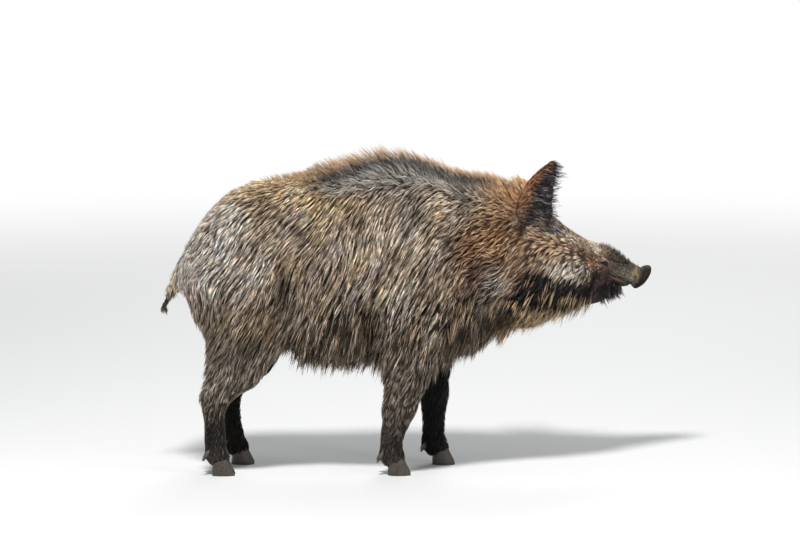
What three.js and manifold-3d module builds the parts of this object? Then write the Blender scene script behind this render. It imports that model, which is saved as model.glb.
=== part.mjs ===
// A wild boar sow at life size, standing still with the head stretched forward and turned to its left.
// Millimetres. +X points to the snout, +Y to the animal's left and +Z up. The origin lies on the floor,
// under the middle of the box that the animal fills. The outer surface is the outline of the coat.
import * as THREE from "three";
import { mergeVertices } from "three/addons/utils/BufferGeometryUtils.js";
import Module from "manifold-3d";

const wasm = await Module();
wasm.setup();

// ---------- driving sizes ----------
const GAP = 0.4; // thin cut between neighbouring pieces
const INTO_FRAME = [5, -29, 0]; // from the modelling origin, under the withers, to the part's origin
const HEAD_YAW = 30; // degrees, to the animal's left
const HEAD_PITCH = 21.6; // degrees, nose down
const NAPE = [305, 30, 592]; // between the ears
const SNOUT_REACH = 349; // from the nape to the back of the nose disc
const EYE = { along: 194, aside: 53, up: -13, radius: 13 };
const CORONET_HEIGHT = 33; // top of the hoof, where horn meets hair
const CORONET_TILT = 14; // degrees, higher at the toe

// Upright oval sections of the trunk and neck: [x, top, bottom, half-width, sideways shift]
const TRUNK_SECTIONS = [
  [-584, 500, 470, 18, 0],
  [-576, 540, 430, 46, 0],
  [-560, 566, 402, 70, 0],
  [-537, 604, 388, 93, 0],
  [-510, 643, 380, 111, 0],
  [-475, 684, 374, 126, 0],
  [-437, 712, 366, 137, 0],
  [-385, 731, 354, 145, 0],
  [-317, 741, 330, 149, 0],
  [-262, 748, 290, 153, 0],
  [-220, 753, 272, 158, 0],
  [-127, 761, 266, 165, 0],
  [-50, 763, 267, 165, 0],
  [30, 758, 268, 155, 0],
  [100, 746, 273, 139, 2],
  [162, 738, 290, 128, 6],
  [205, 732, 308, 119, 12],
  [255, 716, 338, 110, 22],
  [300, 694, 356, 102, 32],
  [330, 664, 372, 90, 40],
  [352, 610, 420, 55, 46],
  [360, 560, 480, 20, 48],
];
// Bristles that stand along the back and neck: [x, top, bottom, half-width, sideways shift]
const MANE_SECTIONS = [
  [-240, 748, 690, 8, 0],
  [-198, 766, 690, 24, 0],
  [-165, 790, 690, 31, 0],
  [-120, 811, 690, 34, 0],
  [-50, 817, 690, 35, 0],
  [5, 811, 690, 35, 0],
  [45, 795, 690, 34, 0],
  [100, 757, 690, 32, 2],
  [142, 760, 690, 30, 4],
  [190, 756, 680, 29, 9],
  [237, 744, 670, 27, 18],
  [280, 730, 650, 24, 27],
  [318, 704, 640, 10, 34],
];
// The same along the head, from the nape to the nose: [distance, top, bottom, half-width, shift]
const HEAD_SECTIONS = [
  [-80, 20, -60, 20, 0],
  [-66, 48, -120, 62, 0],
  [-30, 76, -172, 90, 0],
  [0, 78, -198, 97, 0],
  [50, 65, -202, 99, 0],
  [100, 51, -195, 94, 0],
  [140, 42, -182, 84, 0],
  [187, 38, -149, 68, 0],
  [215, 37, -126, 57, 0],
  [247, 36, -104, 49, 0],
  [270, 35, -84, 45, 0],
  [291, 33, -60, 42, 0],
  [320, 29, -42, 38, 0],
  [344, 25, -33, 34, 0],
  [352, 12, -14, 14, 0],
];

// Each leg runs through its joints: [x, y, z, radius fore and aft, radius sideways]
const LEGS = {
  front_right: {
    line: [
      [34, -96, 452, 88, 58],
      [14, -100, 350, 64, 50],
      [-11, -94, 245, 57, 41],
      [-29, -86, 165, 44, 34],
      [-45, -82, 108, 30, 26],
      [-54, -80, 66, 29, 27],
      [-37, -80, 33, 25, 28],
    ],
    foot: [-36, -80],
  },
  front_left: {
    line: [
      [48, 96, 452, 88, 58],
      [50, 100, 350, 60, 50],
      [56, 94, 245, 47, 39],
      [60, 86, 165, 38, 33],
      [58, 82, 108, 28, 26],
      [56, 80, 66, 29, 27],
      [75, 80, 33, 25, 28],
    ],
    foot: [76, 80],
  },
  hind_right: {
    line: [
      [-425, -82, 520, 128, 62],
      [-388, -104, 385, 108, 54],
      [-437, -98, 276, 74, 43],
      [-491, -90, 194, 38, 28],
      [-488, -86, 120, 28, 24],
      [-488, -84, 70, 28, 26],
      [-473, -84, 33, 25, 28],
    ],
    foot: [-474, -84],
  },
  hind_left: {
    line: [
      [-415, 82, 520, 128, 62],
      [-368, 104, 385, 104, 54],
      [-410, 98, 276, 70, 43],
      [-462, 90, 194, 37, 28],
      [-455, 86, 120, 28, 24],
      [-449, 84, 70, 28, 26],
      [-433, 84, 33, 25, 28],
    ],
    foot: [-432, 84],
  },
};
const SHOULDER = { at: [24, 92, 540], radii: [118, 70, 172] };
const THIGH = { at: [-428, 84, 500], radii: [138, 66, 168] };

// ---------- fields: negative inside the body, about a distance in millimetres ----------
function smoothUnion(a, b, blend) {
  const near = Math.max(blend - Math.abs(a - b), 0) / blend;
  return Math.min(a, b) - (near * near * blend) / 4;
}

// Cubic interpolation through the rows of a table whose first column rises.
function interpolator(rows) {
  const slopes = rows.map((row, i) => {
    const before = rows[Math.max(i - 1, 0)];
    const after = rows[Math.min(i + 1, rows.length - 1)];
    return row.map((_, c) => (after[c] - before[c]) / (after[0] - before[0]));
  });
  return (at) => {
    let i = 0;
    while (i < rows.length - 2 && at > rows[i + 1][0]) i += 1;
    const span = rows[i + 1][0] - rows[i][0];
    const t = THREE.MathUtils.clamp((at - rows[i][0]) / span, 0, 1);
    const a = (1 + 2 * t) * (1 - t) ** 2;
    const b = t * t * (3 - 2 * t);
    return rows[i].map(
      (value, c) =>
        a * value +
        b * rows[i + 1][c] +
        span * t * (1 - t) * ((1 - t) * slopes[i][c] - t * slopes[i + 1][c]),
    );
  };
}

// A body of oval sections set across one axis. The taper narrows each section towards its top.
function sectioned(rows, { power = 2.2, taper = 0.12 } = {}) {
  const sectionAt = interpolator(rows);
  const first = rows[0][0];
  const last = rows[rows.length - 1][0];
  return (along, aside, up) => {
    const [, top, bottom, half, shift] = sectionAt(along);
    const tall = (top - bottom) / 2;
    const rise = (up - (top + bottom) / 2) / tall;
    const lean = 1 - taper * THREE.MathUtils.clamp(rise, -1, 1);
    const out = Math.abs(aside - shift) / (half * lean);
    const reach = (out ** power + Math.abs(rise) ** power) ** (1 / power);
    const beyond = Math.max(first - along, along - last, 0);
    return (reach - 1) * Math.min(half, tall) + beyond;
  };
}

function ellipsoid([cx, cy, cz], [rx, ry, rz]) {
  const least = Math.min(rx, ry, rz);
  return (x, y, z) =>
    (Math.hypot((x - cx) / rx, (y - cy) / ry, (z - cz) / rz) - 1) * least;
}

// A tapering limb of oval section between two joints, rounded at both.
function limb([ax, ay, az, aFore, aSide], [bx, by, bz, bFore, bSide]) {
  const axis = new THREE.Vector3(bx - ax, by - ay, bz - az);
  const length = axis.length();
  axis.normalize();
  const side = new THREE.Vector3(0, 1, 0).addScaledVector(axis, -axis.y).normalize();
  const fore = new THREE.Vector3().crossVectors(side, axis);
  return (x, y, z) => {
    const dx = x - ax;
    const dy = y - ay;
    const dz = z - az;
    const along = dx * axis.x + dy * axis.y + dz * axis.z;
    const t = THREE.MathUtils.clamp(along / length, 0, 1);
    const rFore = aFore + (bFore - aFore) * t;
    const rSide = aSide + (bSide - aSide) * t;
    const beyond = Math.max(-along, along - length, 0) / ((rFore + rSide) / 2);
    const u = (dx * fore.x + dy * fore.y + dz * fore.z) / rFore;
    const v = (dx * side.x + dy * side.y + dz * side.z) / rSide;
    return (Math.hypot(u, v, beyond) - 1) * Math.min(rFore, rSide);
  };
}

const headPlace = new THREE.Matrix4().compose(
  new THREE.Vector3(...NAPE),
  new THREE.Quaternion().setFromEuler(
    new THREE.Euler(
      0,
      THREE.MathUtils.degToRad(HEAD_PITCH),
      THREE.MathUtils.degToRad(HEAD_YAW),
      "ZYX",
    ),
  ),
  new THREE.Vector3(1, 1, 1),
);
const intoHead = headPlace.clone().invert();

const trunkShape = sectioned(TRUNK_SECTIONS);
const maneShape = sectioned(MANE_SECTIONS, { taper: 0.25 });
const headShape = sectioned(HEAD_SECTIONS, { power: 2.35, taper: 0.1 });
const headPoint = new THREE.Vector3();

function headField(x, y, z) {
  const p = headPoint.set(x, y, z).applyMatrix4(intoHead);
  return headShape(p.x, p.y, p.z);
}

const legFields = Object.values(LEGS).map(({ line }) => {
  const bones = line.slice(1).map((joint, i) => limb(line[i], joint));
  return (x, y, z) =>
    bones.reduce((sum, bone) => smoothUnion(sum, bone(x, y, z), 16), Infinity);
});
const muscles = [SHOULDER, THIGH].flatMap(({ at: [x, y, z], radii }) =>
  [-y, y].map((side) => ellipsoid([x, side, z], radii)),
);

function bodyField(x, y, z) {
  let sum = smoothUnion(trunkShape(x, y, z), headField(x, y, z), 50);
  for (const muscle of muscles) sum = smoothUnion(sum, muscle(x, y, z), 40);
  sum = smoothUnion(sum, maneShape(x, y, z), 22);
  for (const leg of legFields) sum = smoothUnion(sum, leg(x, y, z), 34);
  return sum;
}

// ---------- from a field to a closed mesh, by surface nets ----------
// Where two corners of a square lie inside and face each other across two outside ones, the net would
// pinch there, so the lesser outside corner is taken in, until no such square is left.
function fillSaddles(values, count, at) {
  const steps = [at(1, 0, 0), at(0, 1, 0), at(0, 0, 1)];
  for (let filled = true; filled; ) {
    filled = false;
    for (let k = 1; k < count[2] - 1; k++)
      for (let j = 1; j < count[1] - 1; j++)
        for (let i = 1; i < count[0] - 1; i++)
          for (let axis = 0; axis < 3; axis++) {
            const here = at(i, j, k);
            const u = steps[axis];
            const v = steps[(axis + 1) % 3];
            const square = [here, here + u, here + u + v, here + v];
            const inside = square.map((n) => values[n] < 0);
            if (inside[0] !== inside[2] || inside[1] !== inside[3]) continue;
            if (inside[0] === inside[1]) continue;
            const [a, b] = inside[0] ? [square[1], square[3]] : [square[0], square[2]];
            values[values[a] < values[b] ? a : b] = -0.5;
            filled = true;
          }
  }
}

// Evenly spaced places from one end to the other, with both ends on the list.
function evenly(from, to, step) {
  const count = Math.round((to - from) / step);
  return Array.from({ length: count + 1 }, (_, n) => from + ((to - from) * n) / count);
}

// The grid is three lists of places, one for each axis.
function surfaceOf(field, grid) {
  const count = grid.map((places) => places.length);
  const at = (i, j, k) => i + count[0] * (j + count[1] * k);
  const place = (axis, n) => grid[axis][n];
  const between = (axis, n, t) =>
    THREE.MathUtils.lerp(grid[axis][n], grid[axis][n + 1], t);
  const values = new Float64Array(count[0] * count[1] * count[2]);
  const onRim = (n, axis) => n === 0 || n === count[axis] - 1;
  for (let k = 0; k < count[2]; k++)
    for (let j = 0; j < count[1]; j++)
      for (let i = 0; i < count[0]; i++)
        values[at(i, j, k)] =
          onRim(i, 0) || onRim(j, 1) || onRim(k, 2)
            ? 20
            : field(place(0, i), place(1, j), place(2, k));
  fillSaddles(values, count, at);

  const CORNERS = [0, 1, 2, 3, 4, 5, 6, 7].map((n) => [n & 1, (n >> 1) & 1, n >> 2]);
  const EDGES = CORNERS.flatMap((_, a) =>
    [1, 2, 4].filter((bit) => !(a & bit)).map((bit) => [a, a | bit]),
  );
  const vertexOf = new Int32Array(values.length).fill(-1);
  const points = [];
  for (let k = 0; k < count[2] - 1; k++)
    for (let j = 0; j < count[1] - 1; j++)
      for (let i = 0; i < count[0] - 1; i++) {
        const corner = CORNERS.map(([a, b, c]) => values[at(i + a, j + b, k + c)]);
        const sum = new THREE.Vector3();
        let crossings = 0;
        for (const [a, b] of EDGES) {
          if (corner[a] < 0 === corner[b] < 0) continue;
          const t = corner[a] / (corner[a] - corner[b]);
          const from = new THREE.Vector3(...CORNERS[a]);
          sum.add(from.lerp(new THREE.Vector3(...CORNERS[b]), t));
          crossings += 1;
        }
        if (!crossings) continue;
        vertexOf[at(i, j, k)] = points.length;
        const [x, y, z] = sum.divideScalar(crossings).toArray();
        points.push(
          new THREE.Vector3(between(0, i, x), between(1, j, y), between(2, k, z)),
        );
      }

  // One square face about each grid edge that the surface crosses, split along its shorter diagonal.
  const faces = [];
  const neighbours = points.map(() => new Set());
  const steps = [1, count[0], count[0] * count[1]];
  for (let k = 0; k < count[2] - 1; k++)
    for (let j = 0; j < count[1] - 1; j++)
      for (let i = 0; i < count[0] - 1; i++) {
        const here = at(i, j, k);
        for (let axis = 0; axis < 3; axis++) {
          const inside = values[here] < 0;
          if (inside === values[here + steps[axis]] < 0) continue;
          const u = steps[(axis + 1) % 3];
          const v = steps[(axis + 2) % 3];
          const ring = [here - u - v, here - v, here, here - u].map((n) => vertexOf[n]);
          if (!inside) ring.reverse();
          faces.push(ring);
          ring.forEach((n, c) => neighbours[n].add(ring[(c + 1) % 4]));
          ring.forEach((n, c) => neighbours[n].add(ring[(c + 3) % 4]));
        }
      }
  settle(field, points, neighbours, grid);
  const triangles = faces.flatMap(([a, b, c, d]) =>
    points[a].distanceTo(points[c]) < points[b].distanceTo(points[d])
      ? [a, b, c, a, c, d]
      : [b, c, d, b, d, a],
  );
  const geometry = new THREE.BufferGeometry().setFromPoints(points);
  geometry.setIndex(triangles);
  return geometry;
}

// Evens the net out, and draws it back onto the field's surface after each pass.
function settle(field, points, neighbours, grid) {
  const d = 0.5;
  const free = points.map((p) =>
    p.toArray().every((n, c) => n > grid[c][1] && n < grid[c][grid[c].length - 2]),
  );
  for (let pass = 0; pass < 4; pass++) {
    const middles = points.map((p, n) => {
      const sum = new THREE.Vector3();
      for (const other of neighbours[n]) sum.add(points[other]);
      return sum.divideScalar(neighbours[n].size).lerp(p, 0.5);
    });
    points.forEach((p, n) => {
      if (!free[n]) return;
      const q = middles[n];
      for (let turn = 0; turn < 3; turn++) {
        const here = field(q.x, q.y, q.z);
        const slope = new THREE.Vector3(
          field(q.x + d, q.y, q.z) - field(q.x - d, q.y, q.z),
          field(q.x, q.y + d, q.z) - field(q.x, q.y - d, q.z),
          field(q.x, q.y, q.z + d) - field(q.x, q.y, q.z - d),
        ).divideScalar(2 * d);
        const steep = Math.max(slope.lengthSq(), 0.05);
        const shift = slope.multiplyScalar(-here / steep).clampLength(0, 7);
        q.add(shift);
      }
      p.copy(q);
    });
  }
}

// ---------- closed solids, joined and cut ----------
function solidOf(geometry) {
  const bare = new THREE.BufferGeometry();
  bare.setAttribute("position", geometry.getAttribute("position").clone());
  if (geometry.index) bare.setIndex(geometry.index.clone());
  const merged = mergeVertices(bare, 1e-3);
  return new wasm.Manifold(
    new wasm.Mesh({
      numProp: 3,
      vertProperties: new Float32Array(merged.attributes.position.array),
      triVerts: new Uint32Array(merged.index.array),
    }),
  );
}

function geometryOf(solid) {
  const mesh = solid.getMesh();
  const geometry = new THREE.BufferGeometry();
  const points = new Float32Array(mesh.vertProperties);
  geometry.setAttribute("position", new THREE.BufferAttribute(points, 3));
  geometry.setIndex(new THREE.BufferAttribute(new Uint32Array(mesh.triVerts), 1));
  return geometry;
}

// The same closed shape with every vertex moved out along its normal.
function inflated(solid, by) {
  const geometry = geometryOf(solid);
  geometry.computeVertexNormals();
  const place = geometry.getAttribute("position");
  const normal = geometry.getAttribute("normal");
  for (let i = 0; i < place.count; i++)
    place.setXYZ(
      i,
      place.getX(i) + by * normal.getX(i),
      place.getY(i) + by * normal.getY(i),
      place.getZ(i) + by * normal.getZ(i),
    );
  geometry.deleteAttribute("normal");
  return solidOf(geometry);
}

// Everything behind a plane: a large box whose one face lies in it.
const FAR = 3000;
function behind(point, normal, back = 0) {
  const box = new THREE.BoxGeometry(FAR, FAR, FAR).translate(0, 0, -FAR / 2 - back);
  const turn = new THREE.Quaternion().setFromUnitVectors(
    new THREE.Vector3(0, 0, 1),
    new THREE.Vector3(...normal).normalize(),
  );
  box.applyQuaternion(turn).translate(...point);
  return solidOf(box);
}
const opposite = (vector) => vector.map((n) => -n);

// A closed skin over rings of equal count, with a fan over each end.
function lofted(rings) {
  const size = rings[0].length;
  const points = rings.flat().flatMap((p) => p.toArray());
  const faces = [];
  rings.slice(1).forEach((_, r) => {
    for (let i = 0; i < size; i++) {
      const a = r * size + i;
      const b = r * size + ((i + 1) % size);
      faces.push(a, b, b + size, a, b + size, a + size);
    }
  });
  [rings[0], rings[rings.length - 1]].forEach((ring, end) => {
    const middle = points.length / 3;
    const centre = ring.reduce((sum, p) => sum.add(p), new THREE.Vector3());
    points.push(...centre.divideScalar(size).toArray());
    const start = end * (rings.length - 1) * size;
    for (let i = 0; i < size; i++) {
      const pair = [start + i, start + ((i + 1) % size)];
      faces.push(middle, ...(end ? pair : pair.reverse()));
    }
  });
  const geometry = new THREE.BufferGeometry();
  geometry.setAttribute("position", new THREE.Float32BufferAttribute(points, 3));
  geometry.setIndex(faces);
  const solid = solidOf(geometry);
  return solid.volume() > 0 ? solid : turnedOut(geometry);
}

function turnedOut(geometry) {
  const order = geometry.index.array;
  for (let i = 0; i < order.length; i += 3)
    [order[i + 1], order[i + 2]] = [order[i + 2], order[i + 1]];
  return solidOf(geometry);
}

// ---------- where the body is parted ----------
const NECK_BASE = { point: [118, 0, 550], normal: [0.976, 0, 0.215] };
const HEAD_BASE = { point: [252, 25, 560], normal: [0.975, 0.2, -0.06] };

// A leg leaves the trunk at a plane that rises outwards from its inner side.
const LEG_REGIONS = {
  front_right: { from: -82, to: 96, inner: 30, height: 284, side: -1 },
  front_left: { from: -22, to: 142, inner: 30, height: 284, side: 1 },
  hind_right: { from: -640, to: -252, inner: 20, height: 372, side: -1 },
  hind_left: { from: -640, to: -228, inner: 20, height: 372, side: 1 },
};
const OUTER = 320;
const REGION_RISE = 0.62;

function legRegion({ from, to, inner, height, side }, grow = 0) {
  const top = height + grow + (OUTER - inner) * REGION_RISE;
  const outline = new THREE.Shape([
    new THREE.Vector2(inner - grow, -20),
    new THREE.Vector2(OUTER, -20),
    new THREE.Vector2(OUTER, top),
    new THREE.Vector2(inner - grow, height + grow),
  ]);
  const block = new THREE.ExtrudeGeometry(outline, {
    depth: to - from + 2 * grow,
    bevelEnabled: false,
  });
  // The outline lies across the body: its first direction is outwards, its second up.
  block.applyMatrix4(
    new THREE.Matrix4().makeBasis(
      new THREE.Vector3(0, side, 0),
      new THREE.Vector3(0, 0, 1),
      new THREE.Vector3(side, 0, 0),
    ),
  );
  block.translate(side > 0 ? from - grow : to + grow, 0, 0);
  return solidOf(block);
}

// ---------- the pieces ----------
const pieces = new Map();

function makeTrunkAndNeck() {
  const ridge = [-108, -74, -46, -22, 0, 22, 46, 74, 108];
  const wide = surfaceOf(bodyField, [
    evenly(-640, 440, 36),
    [-216, -180, -145, ...ridge, 145, 180, 216],
    evenly(185, 870, 36),
  ]);
  let body = solidOf(wide);
  for (const region of Object.values(LEG_REGIONS))
    body = body.subtract(legRegion(region, GAP));
  const { point, normal } = NECK_BASE;
  const fore = body.intersect(behind(point, opposite(normal), GAP));
  pieces.set("trunk", largest(body.intersect(behind(point, normal))));
  pieces.set(
    "neck",
    largest(fore.intersect(behind(HEAD_BASE.point, HEAD_BASE.normal, GAP))),
  );
}

function largest(solid) {
  const parts = solid.decompose();
  return parts.reduce((best, part) => (part.volume() > best.volume() ? part : best));
}

function headSpot(along, aside, up) {
  return new THREE.Vector3(along, aside, up).applyMatrix4(headPlace);
}

function headDirection(along, aside, up) {
  return new THREE.Vector3(along, aside, up).transformDirection(headPlace);
}

const EYE_ROOM = 0.4;
function eyeBall(side, grow = 0) {
  const ball = new THREE.SphereGeometry(EYE.radius + grow, 10, 7);
  const at = headSpot(EYE.along, side * EYE.aside, EYE.up);
  return solidOf(ball.translate(...at.toArray()));
}

// The lips part the lower jaw from the head: a plane that rises gently to the corner of the mouth.
const MOUTH = { along: 352, up: -29, corner: 226, slope: 0.04 };

function makeHead() {
  const spot = new THREE.Vector3();
  const inHeadFrame = (along, aside, up) => {
    spot.set(along, aside, up).applyMatrix4(headPlace);
    return bodyField(spot.x, spot.y, spot.z);
  };
  const net = surfaceOf(inHeadFrame, [
    evenly(-130, 374, 23),
    evenly(-140, 140, 21.5),
    evenly(-258, 168, 22.5),
  ]);
  let head = solidOf(net.applyMatrix4(headPlace)).intersect(
    behind(HEAD_BASE.point, opposite(HEAD_BASE.normal)),
  );
  for (const side of [-1, 1]) head = head.subtract(eyeBall(side, EYE_ROOM));
  const down = headDirection(MOUTH.slope, 0, 1).toArray();
  const lips = headSpot(MOUTH.along, 0, MOUTH.up).toArray();
  const corner = headSpot(MOUTH.corner, 0, MOUTH.up).toArray();
  const back = headDirection(-1, 0, -0.7).toArray();
  const jawRoom = behind(lips, down).intersect(behind(corner, back));
  pieces.set("head", largest(head.subtract(jawRoom)));
  const jawSpace = behind(lips, down, GAP).intersect(behind(corner, back, GAP));
  pieces.set("lower_jaw", largest(head.intersect(jawSpace)));
  pieces.set("eye_right", eyeBall(-1));
  pieces.set("eye_left", eyeBall(1));
}

// The nose disc: a round pad across the end of the snout, its upper rim proud of the muzzle.
const DISC = { half: 36, tall: 35, lean: 9, turn: 11, thick: 17, sides: 18 };

function makeNoseDisc() {
  const lean = Math.tan(THREE.MathUtils.degToRad(DISC.lean));
  const turn = Math.tan(THREE.MathUtils.degToRad(DISC.turn));
  const profile = [
    [0, 0.84],
    [0.2, 0.97],
    [0.5, 1],
    [0.82, 0.97],
    [1, 0.86],
  ];
  const rings = profile.map(([depth, size]) =>
    Array.from({ length: DISC.sides }, (_, i) => {
      const way = (i / DISC.sides) * 2 * Math.PI;
      const up = Math.sin(way) * DISC.tall * size * (Math.sin(way) > 0 ? 1.04 : 0.96);
      const aside = Math.cos(way) * DISC.half * size;
      const along = depth * DISC.thick + up * lean + aside * turn;
      return headSpot(SNOUT_REACH - DISC.thick * 0.5 + along, aside, up - 1);
    }),
  );
  const disc = lofted(rings);
  const shape = inflated(disc, GAP);
  pieces.set("head", largest(pieces.get("head").subtract(shape)));
  pieces.set("lower_jaw", largest(pieces.get("lower_jaw").subtract(shape)));
  pieces.set("snout_disc", disc);
}

// An ear is a hollow leaf: long, widest in its lower half, its tip bent forward.
const EARS = {
  ear_right: {
    base: [-40, -62, -2],
    tipward: [0.14, -0.16, 0.97],
    opening: [0.42, -0.88, 0.14],
    length: 190,
  },
  ear_left: {
    base: [-34, 62, -2],
    tipward: [-0.6, 0.66, 0.42],
    opening: [0.32, 0.6, 0.1],
    length: 178,
  },
};
const EAR = { half: 57, cup: 28, thick: 11, bend: 27, bow: 24, rows: 8, across: 4 };

function makeEar(name, { base, tipward, opening, length }) {
  const root = headSpot(...base);
  const up = new THREE.Vector3(...tipward).normalize();
  const face = new THREE.Vector3(...opening).addScaledVector(
    up,
    -up.dot(new THREE.Vector3(...opening)),
  );
  face.normalize();
  const fore = new THREE.Vector3().crossVectors(up, face).normalize();
  if (fore.x < 0) fore.negate();
  const rings = Array.from({ length: EAR.rows }, (_, r) => {
    const u = (r / (EAR.rows - 1)) * 0.985;
    const spread = THREE.MathUtils.smoothstep(u, 0, 0.3);
    const half = EAR.half * (0.6 + 0.4 * spread) * (1 - u ** 1.9) ** 0.56;
    const cup = EAR.cup * (0.4 + 0.6 * spread) * (1 - 0.72 * u);
    const point = (v, layer) =>
      root
        .clone()
        .addScaledVector(up, length * u)
        .addScaledVector(fore, v * half + EAR.bend * u * u - EAR.bow * Math.sin(Math.PI * u))
        .addScaledVector(face, cup * v * v + layer * EAR.thick * (1 - 0.62 * v * v));
    const steps = Array.from({ length: EAR.across + 1 }, (_, i) => (2 * i) / EAR.across - 1);
    return [
      ...steps.map((v) => point(v, 0.5)),
      ...steps.reverse().map((v) => point(v, -0.5)),
    ];
  });
  const ear = lofted(rings);
  const cut = ["head", "neck"].reduce(
    (rest, other) => rest.subtract(inflated(pieces.get(other), GAP)),
    ear,
  );
  pieces.set(name, largest(cut));
}

const footPlane = ([x, y]) => {
  const tilt = THREE.MathUtils.degToRad(CORONET_TILT);
  return {
    point: [x, y, CORONET_HEIGHT],
    normal: [-Math.sin(tilt), 0, Math.cos(tilt)],
  };
};

const LEG_STEP = { x: 27, y: 24, z: 35 };

function makeLeg(name) {
  const region = LEG_REGIONS[name];
  const { foot } = LEGS[name];
  const sides = [region.side * 14, region.side * 190];
  const net = surfaceOf(bodyField, [
    evenly(region.from - 22, region.to + 22, LEG_STEP.x),
    evenly(Math.min(...sides), Math.max(...sides), LEG_STEP.y),
    evenly(-14, 500, LEG_STEP.z),
  ]);
  const { point, normal } = footPlane(foot);
  const leg = solidOf(net)
    .intersect(legRegion(region))
    .intersect(behind(point, opposite(normal)));
  pieces.set(`leg_${name}`, largest(leg));
}

// A cloven hoof: two claws side by side, flat soles on the floor, toes drawn to a blunt point.
const CLAW = { long: 62, wide: 27, apart: 14.5, rake: 0.5, tall: 58, sides: 10 };

function makeClaws(name) {
  const [x, y] = LEGS[name].foot;
  const { point, normal } = footPlane(LEGS[name].foot);
  const below = behind(point, normal, GAP);
  for (const [which, side] of [
    ["inner", -Math.sign(y)],
    ["outer", Math.sign(y)],
  ]) {
    const rings = [0, 0.12, 1].map((rise) =>
      Array.from({ length: CLAW.sides }, (_, i) => {
        const turn = (i / CLAW.sides) * 2 * Math.PI;
        const swell = rise === 0 ? 0.95 : 1 - 0.16 * rise;
        const toe = 0.5 + 0.5 * Math.cos(turn);
        const along = (Math.cos(turn) * CLAW.long * swell) / 2 - CLAW.rake * rise * CLAW.tall * toe;
        const aside = (Math.sin(turn) * CLAW.wide * swell * (1 - 0.3 * toe ** 3)) / 2;
        return new THREE.Vector3(x + 8 + along, y + side * CLAW.apart + aside, rise * CLAW.tall);
      }),
    );
    pieces.set(`hoof_${name}_${which}`, largest(lofted(rings).intersect(below)));
  }
}

// A dewclaw is a small blunt cone behind the fetlock that points down and back.
const DEWCLAW = { back: 14, apart: 15, long: 33, wide: 20, sides: 7 };

function makeDewclaws(name) {
  const [fx, fy, fz] = LEGS[name].line[LEGS[name].line.length - 2];
  const leg = pieces.get(`leg_${name}`);
  const skin = inflated(leg, GAP);
  for (const [which, side] of [
    ["inner", -Math.sign(fy)],
    ["outer", Math.sign(fy)],
  ]) {
    const start = new THREE.Vector3(fx - DEWCLAW.back, fy + side * DEWCLAW.apart, fz - 4);
    const aim = new THREE.Vector3(-0.5, side * 0.2, -0.84).normalize();
    const across = new THREE.Vector3(0, 1, 0).cross(aim).normalize();
    const beside = new THREE.Vector3().crossVectors(aim, across);
    const rings = [0, 0.6, 1].map((t) => {
      const radius = (DEWCLAW.wide / 2) * (1 - 0.75 * t ** 2.4);
      return Array.from({ length: DEWCLAW.sides }, (_, i) => {
        const turn = (i / DEWCLAW.sides) * 2 * Math.PI;
        return start
          .clone()
          .addScaledVector(aim, t * DEWCLAW.long)
          .addScaledVector(across, Math.cos(turn) * radius * 0.8)
          .addScaledVector(beside, Math.sin(turn) * radius);
      });
    });
    pieces.set(`dewclaw_${name}_${which}`, largest(lofted(rings).subtract(skin)));
  }
}

// The tail hangs from the rump and ends in a tuft.
const TAIL = {
  line: [
    [-520, 2, 560],
    [-557, 0, 537],
    [-579, -4, 498],
    [-597, -8, 458],
    [-613, -10, 424],
    [-621, -10, 408],
  ],
  radii: [24, 19, 15, 17, 11, 4],
  sides: 8,
};

function makeTail() {
  const curve = new THREE.CatmullRomCurve3(TAIL.line.map((p) => new THREE.Vector3(...p)));
  const steps = 2 * (TAIL.line.length - 1);
  const radiusAt = interpolator(TAIL.radii.map((r, i) => [i, r]));
  const rings = Array.from({ length: steps + 1 }, (_, i) => {
    const t = i / steps;
    const at = curve.getPoint(t);
    const along = curve.getTangent(t);
    const across = new THREE.Vector3(0, 1, 0).cross(along).normalize();
    const beside = new THREE.Vector3().crossVectors(along, across);
    const radius = radiusAt(t * (TAIL.radii.length - 1))[1];
    return Array.from({ length: TAIL.sides }, (_, n) => {
      const turn = (n / TAIL.sides) * 2 * Math.PI;
      return at
        .clone()
        .addScaledVector(across, Math.cos(turn) * radius)
        .addScaledVector(beside, Math.sin(turn) * radius);
    });
  });
  const trunk = inflated(pieces.get("trunk"), GAP);
  pieces.set("tail", largest(lofted(rings).subtract(trunk)));
}

makeTrunkAndNeck();
makeHead();
makeNoseDisc();
for (const [name, ear] of Object.entries(EARS)) makeEar(name, ear);
for (const name of Object.keys(LEGS)) {
  makeLeg(name);
  makeClaws(name);
  makeDewclaws(name);
}
makeTail();

// ---------- colours and the exported group ----------
const FINISHES = [
  [/^(hoof|dewclaw)/, { color: 0x2b2622, roughness: 0.55, metalness: 0 }],
  [/^eye/, { color: 0x1c1009, roughness: 0.1, metalness: 0 }],
  [/^snout/, { color: 0x2c2521, roughness: 0.6, metalness: 0 }],
  [/^(head|lower_jaw|ear)/, { color: 0x6b5a47, roughness: 0.9, metalness: 0 }],
  [/./, { color: 0x7a6a56, roughness: 0.9, metalness: 0 }],
];

const boar = new THREE.Group();
boar.name = "wild_boar";
boar.position.set(...INTO_FRAME);
for (const [name, solid] of pieces) {
  const [, finish] = FINISHES.find(([pattern]) => pattern.test(name));
  const mesh = new THREE.Mesh(geometryOf(solid), new THREE.MeshStandardMaterial(finish));
  mesh.name = name;
  boar.add(mesh);
}
const part = new THREE.Group();
part.add(boar);

export default part;
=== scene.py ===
import math
import bpy
import numpy as np
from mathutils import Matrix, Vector
from mathutils.bvhtree import BVHTree
from mathutils.kdtree import KDTree


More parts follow.
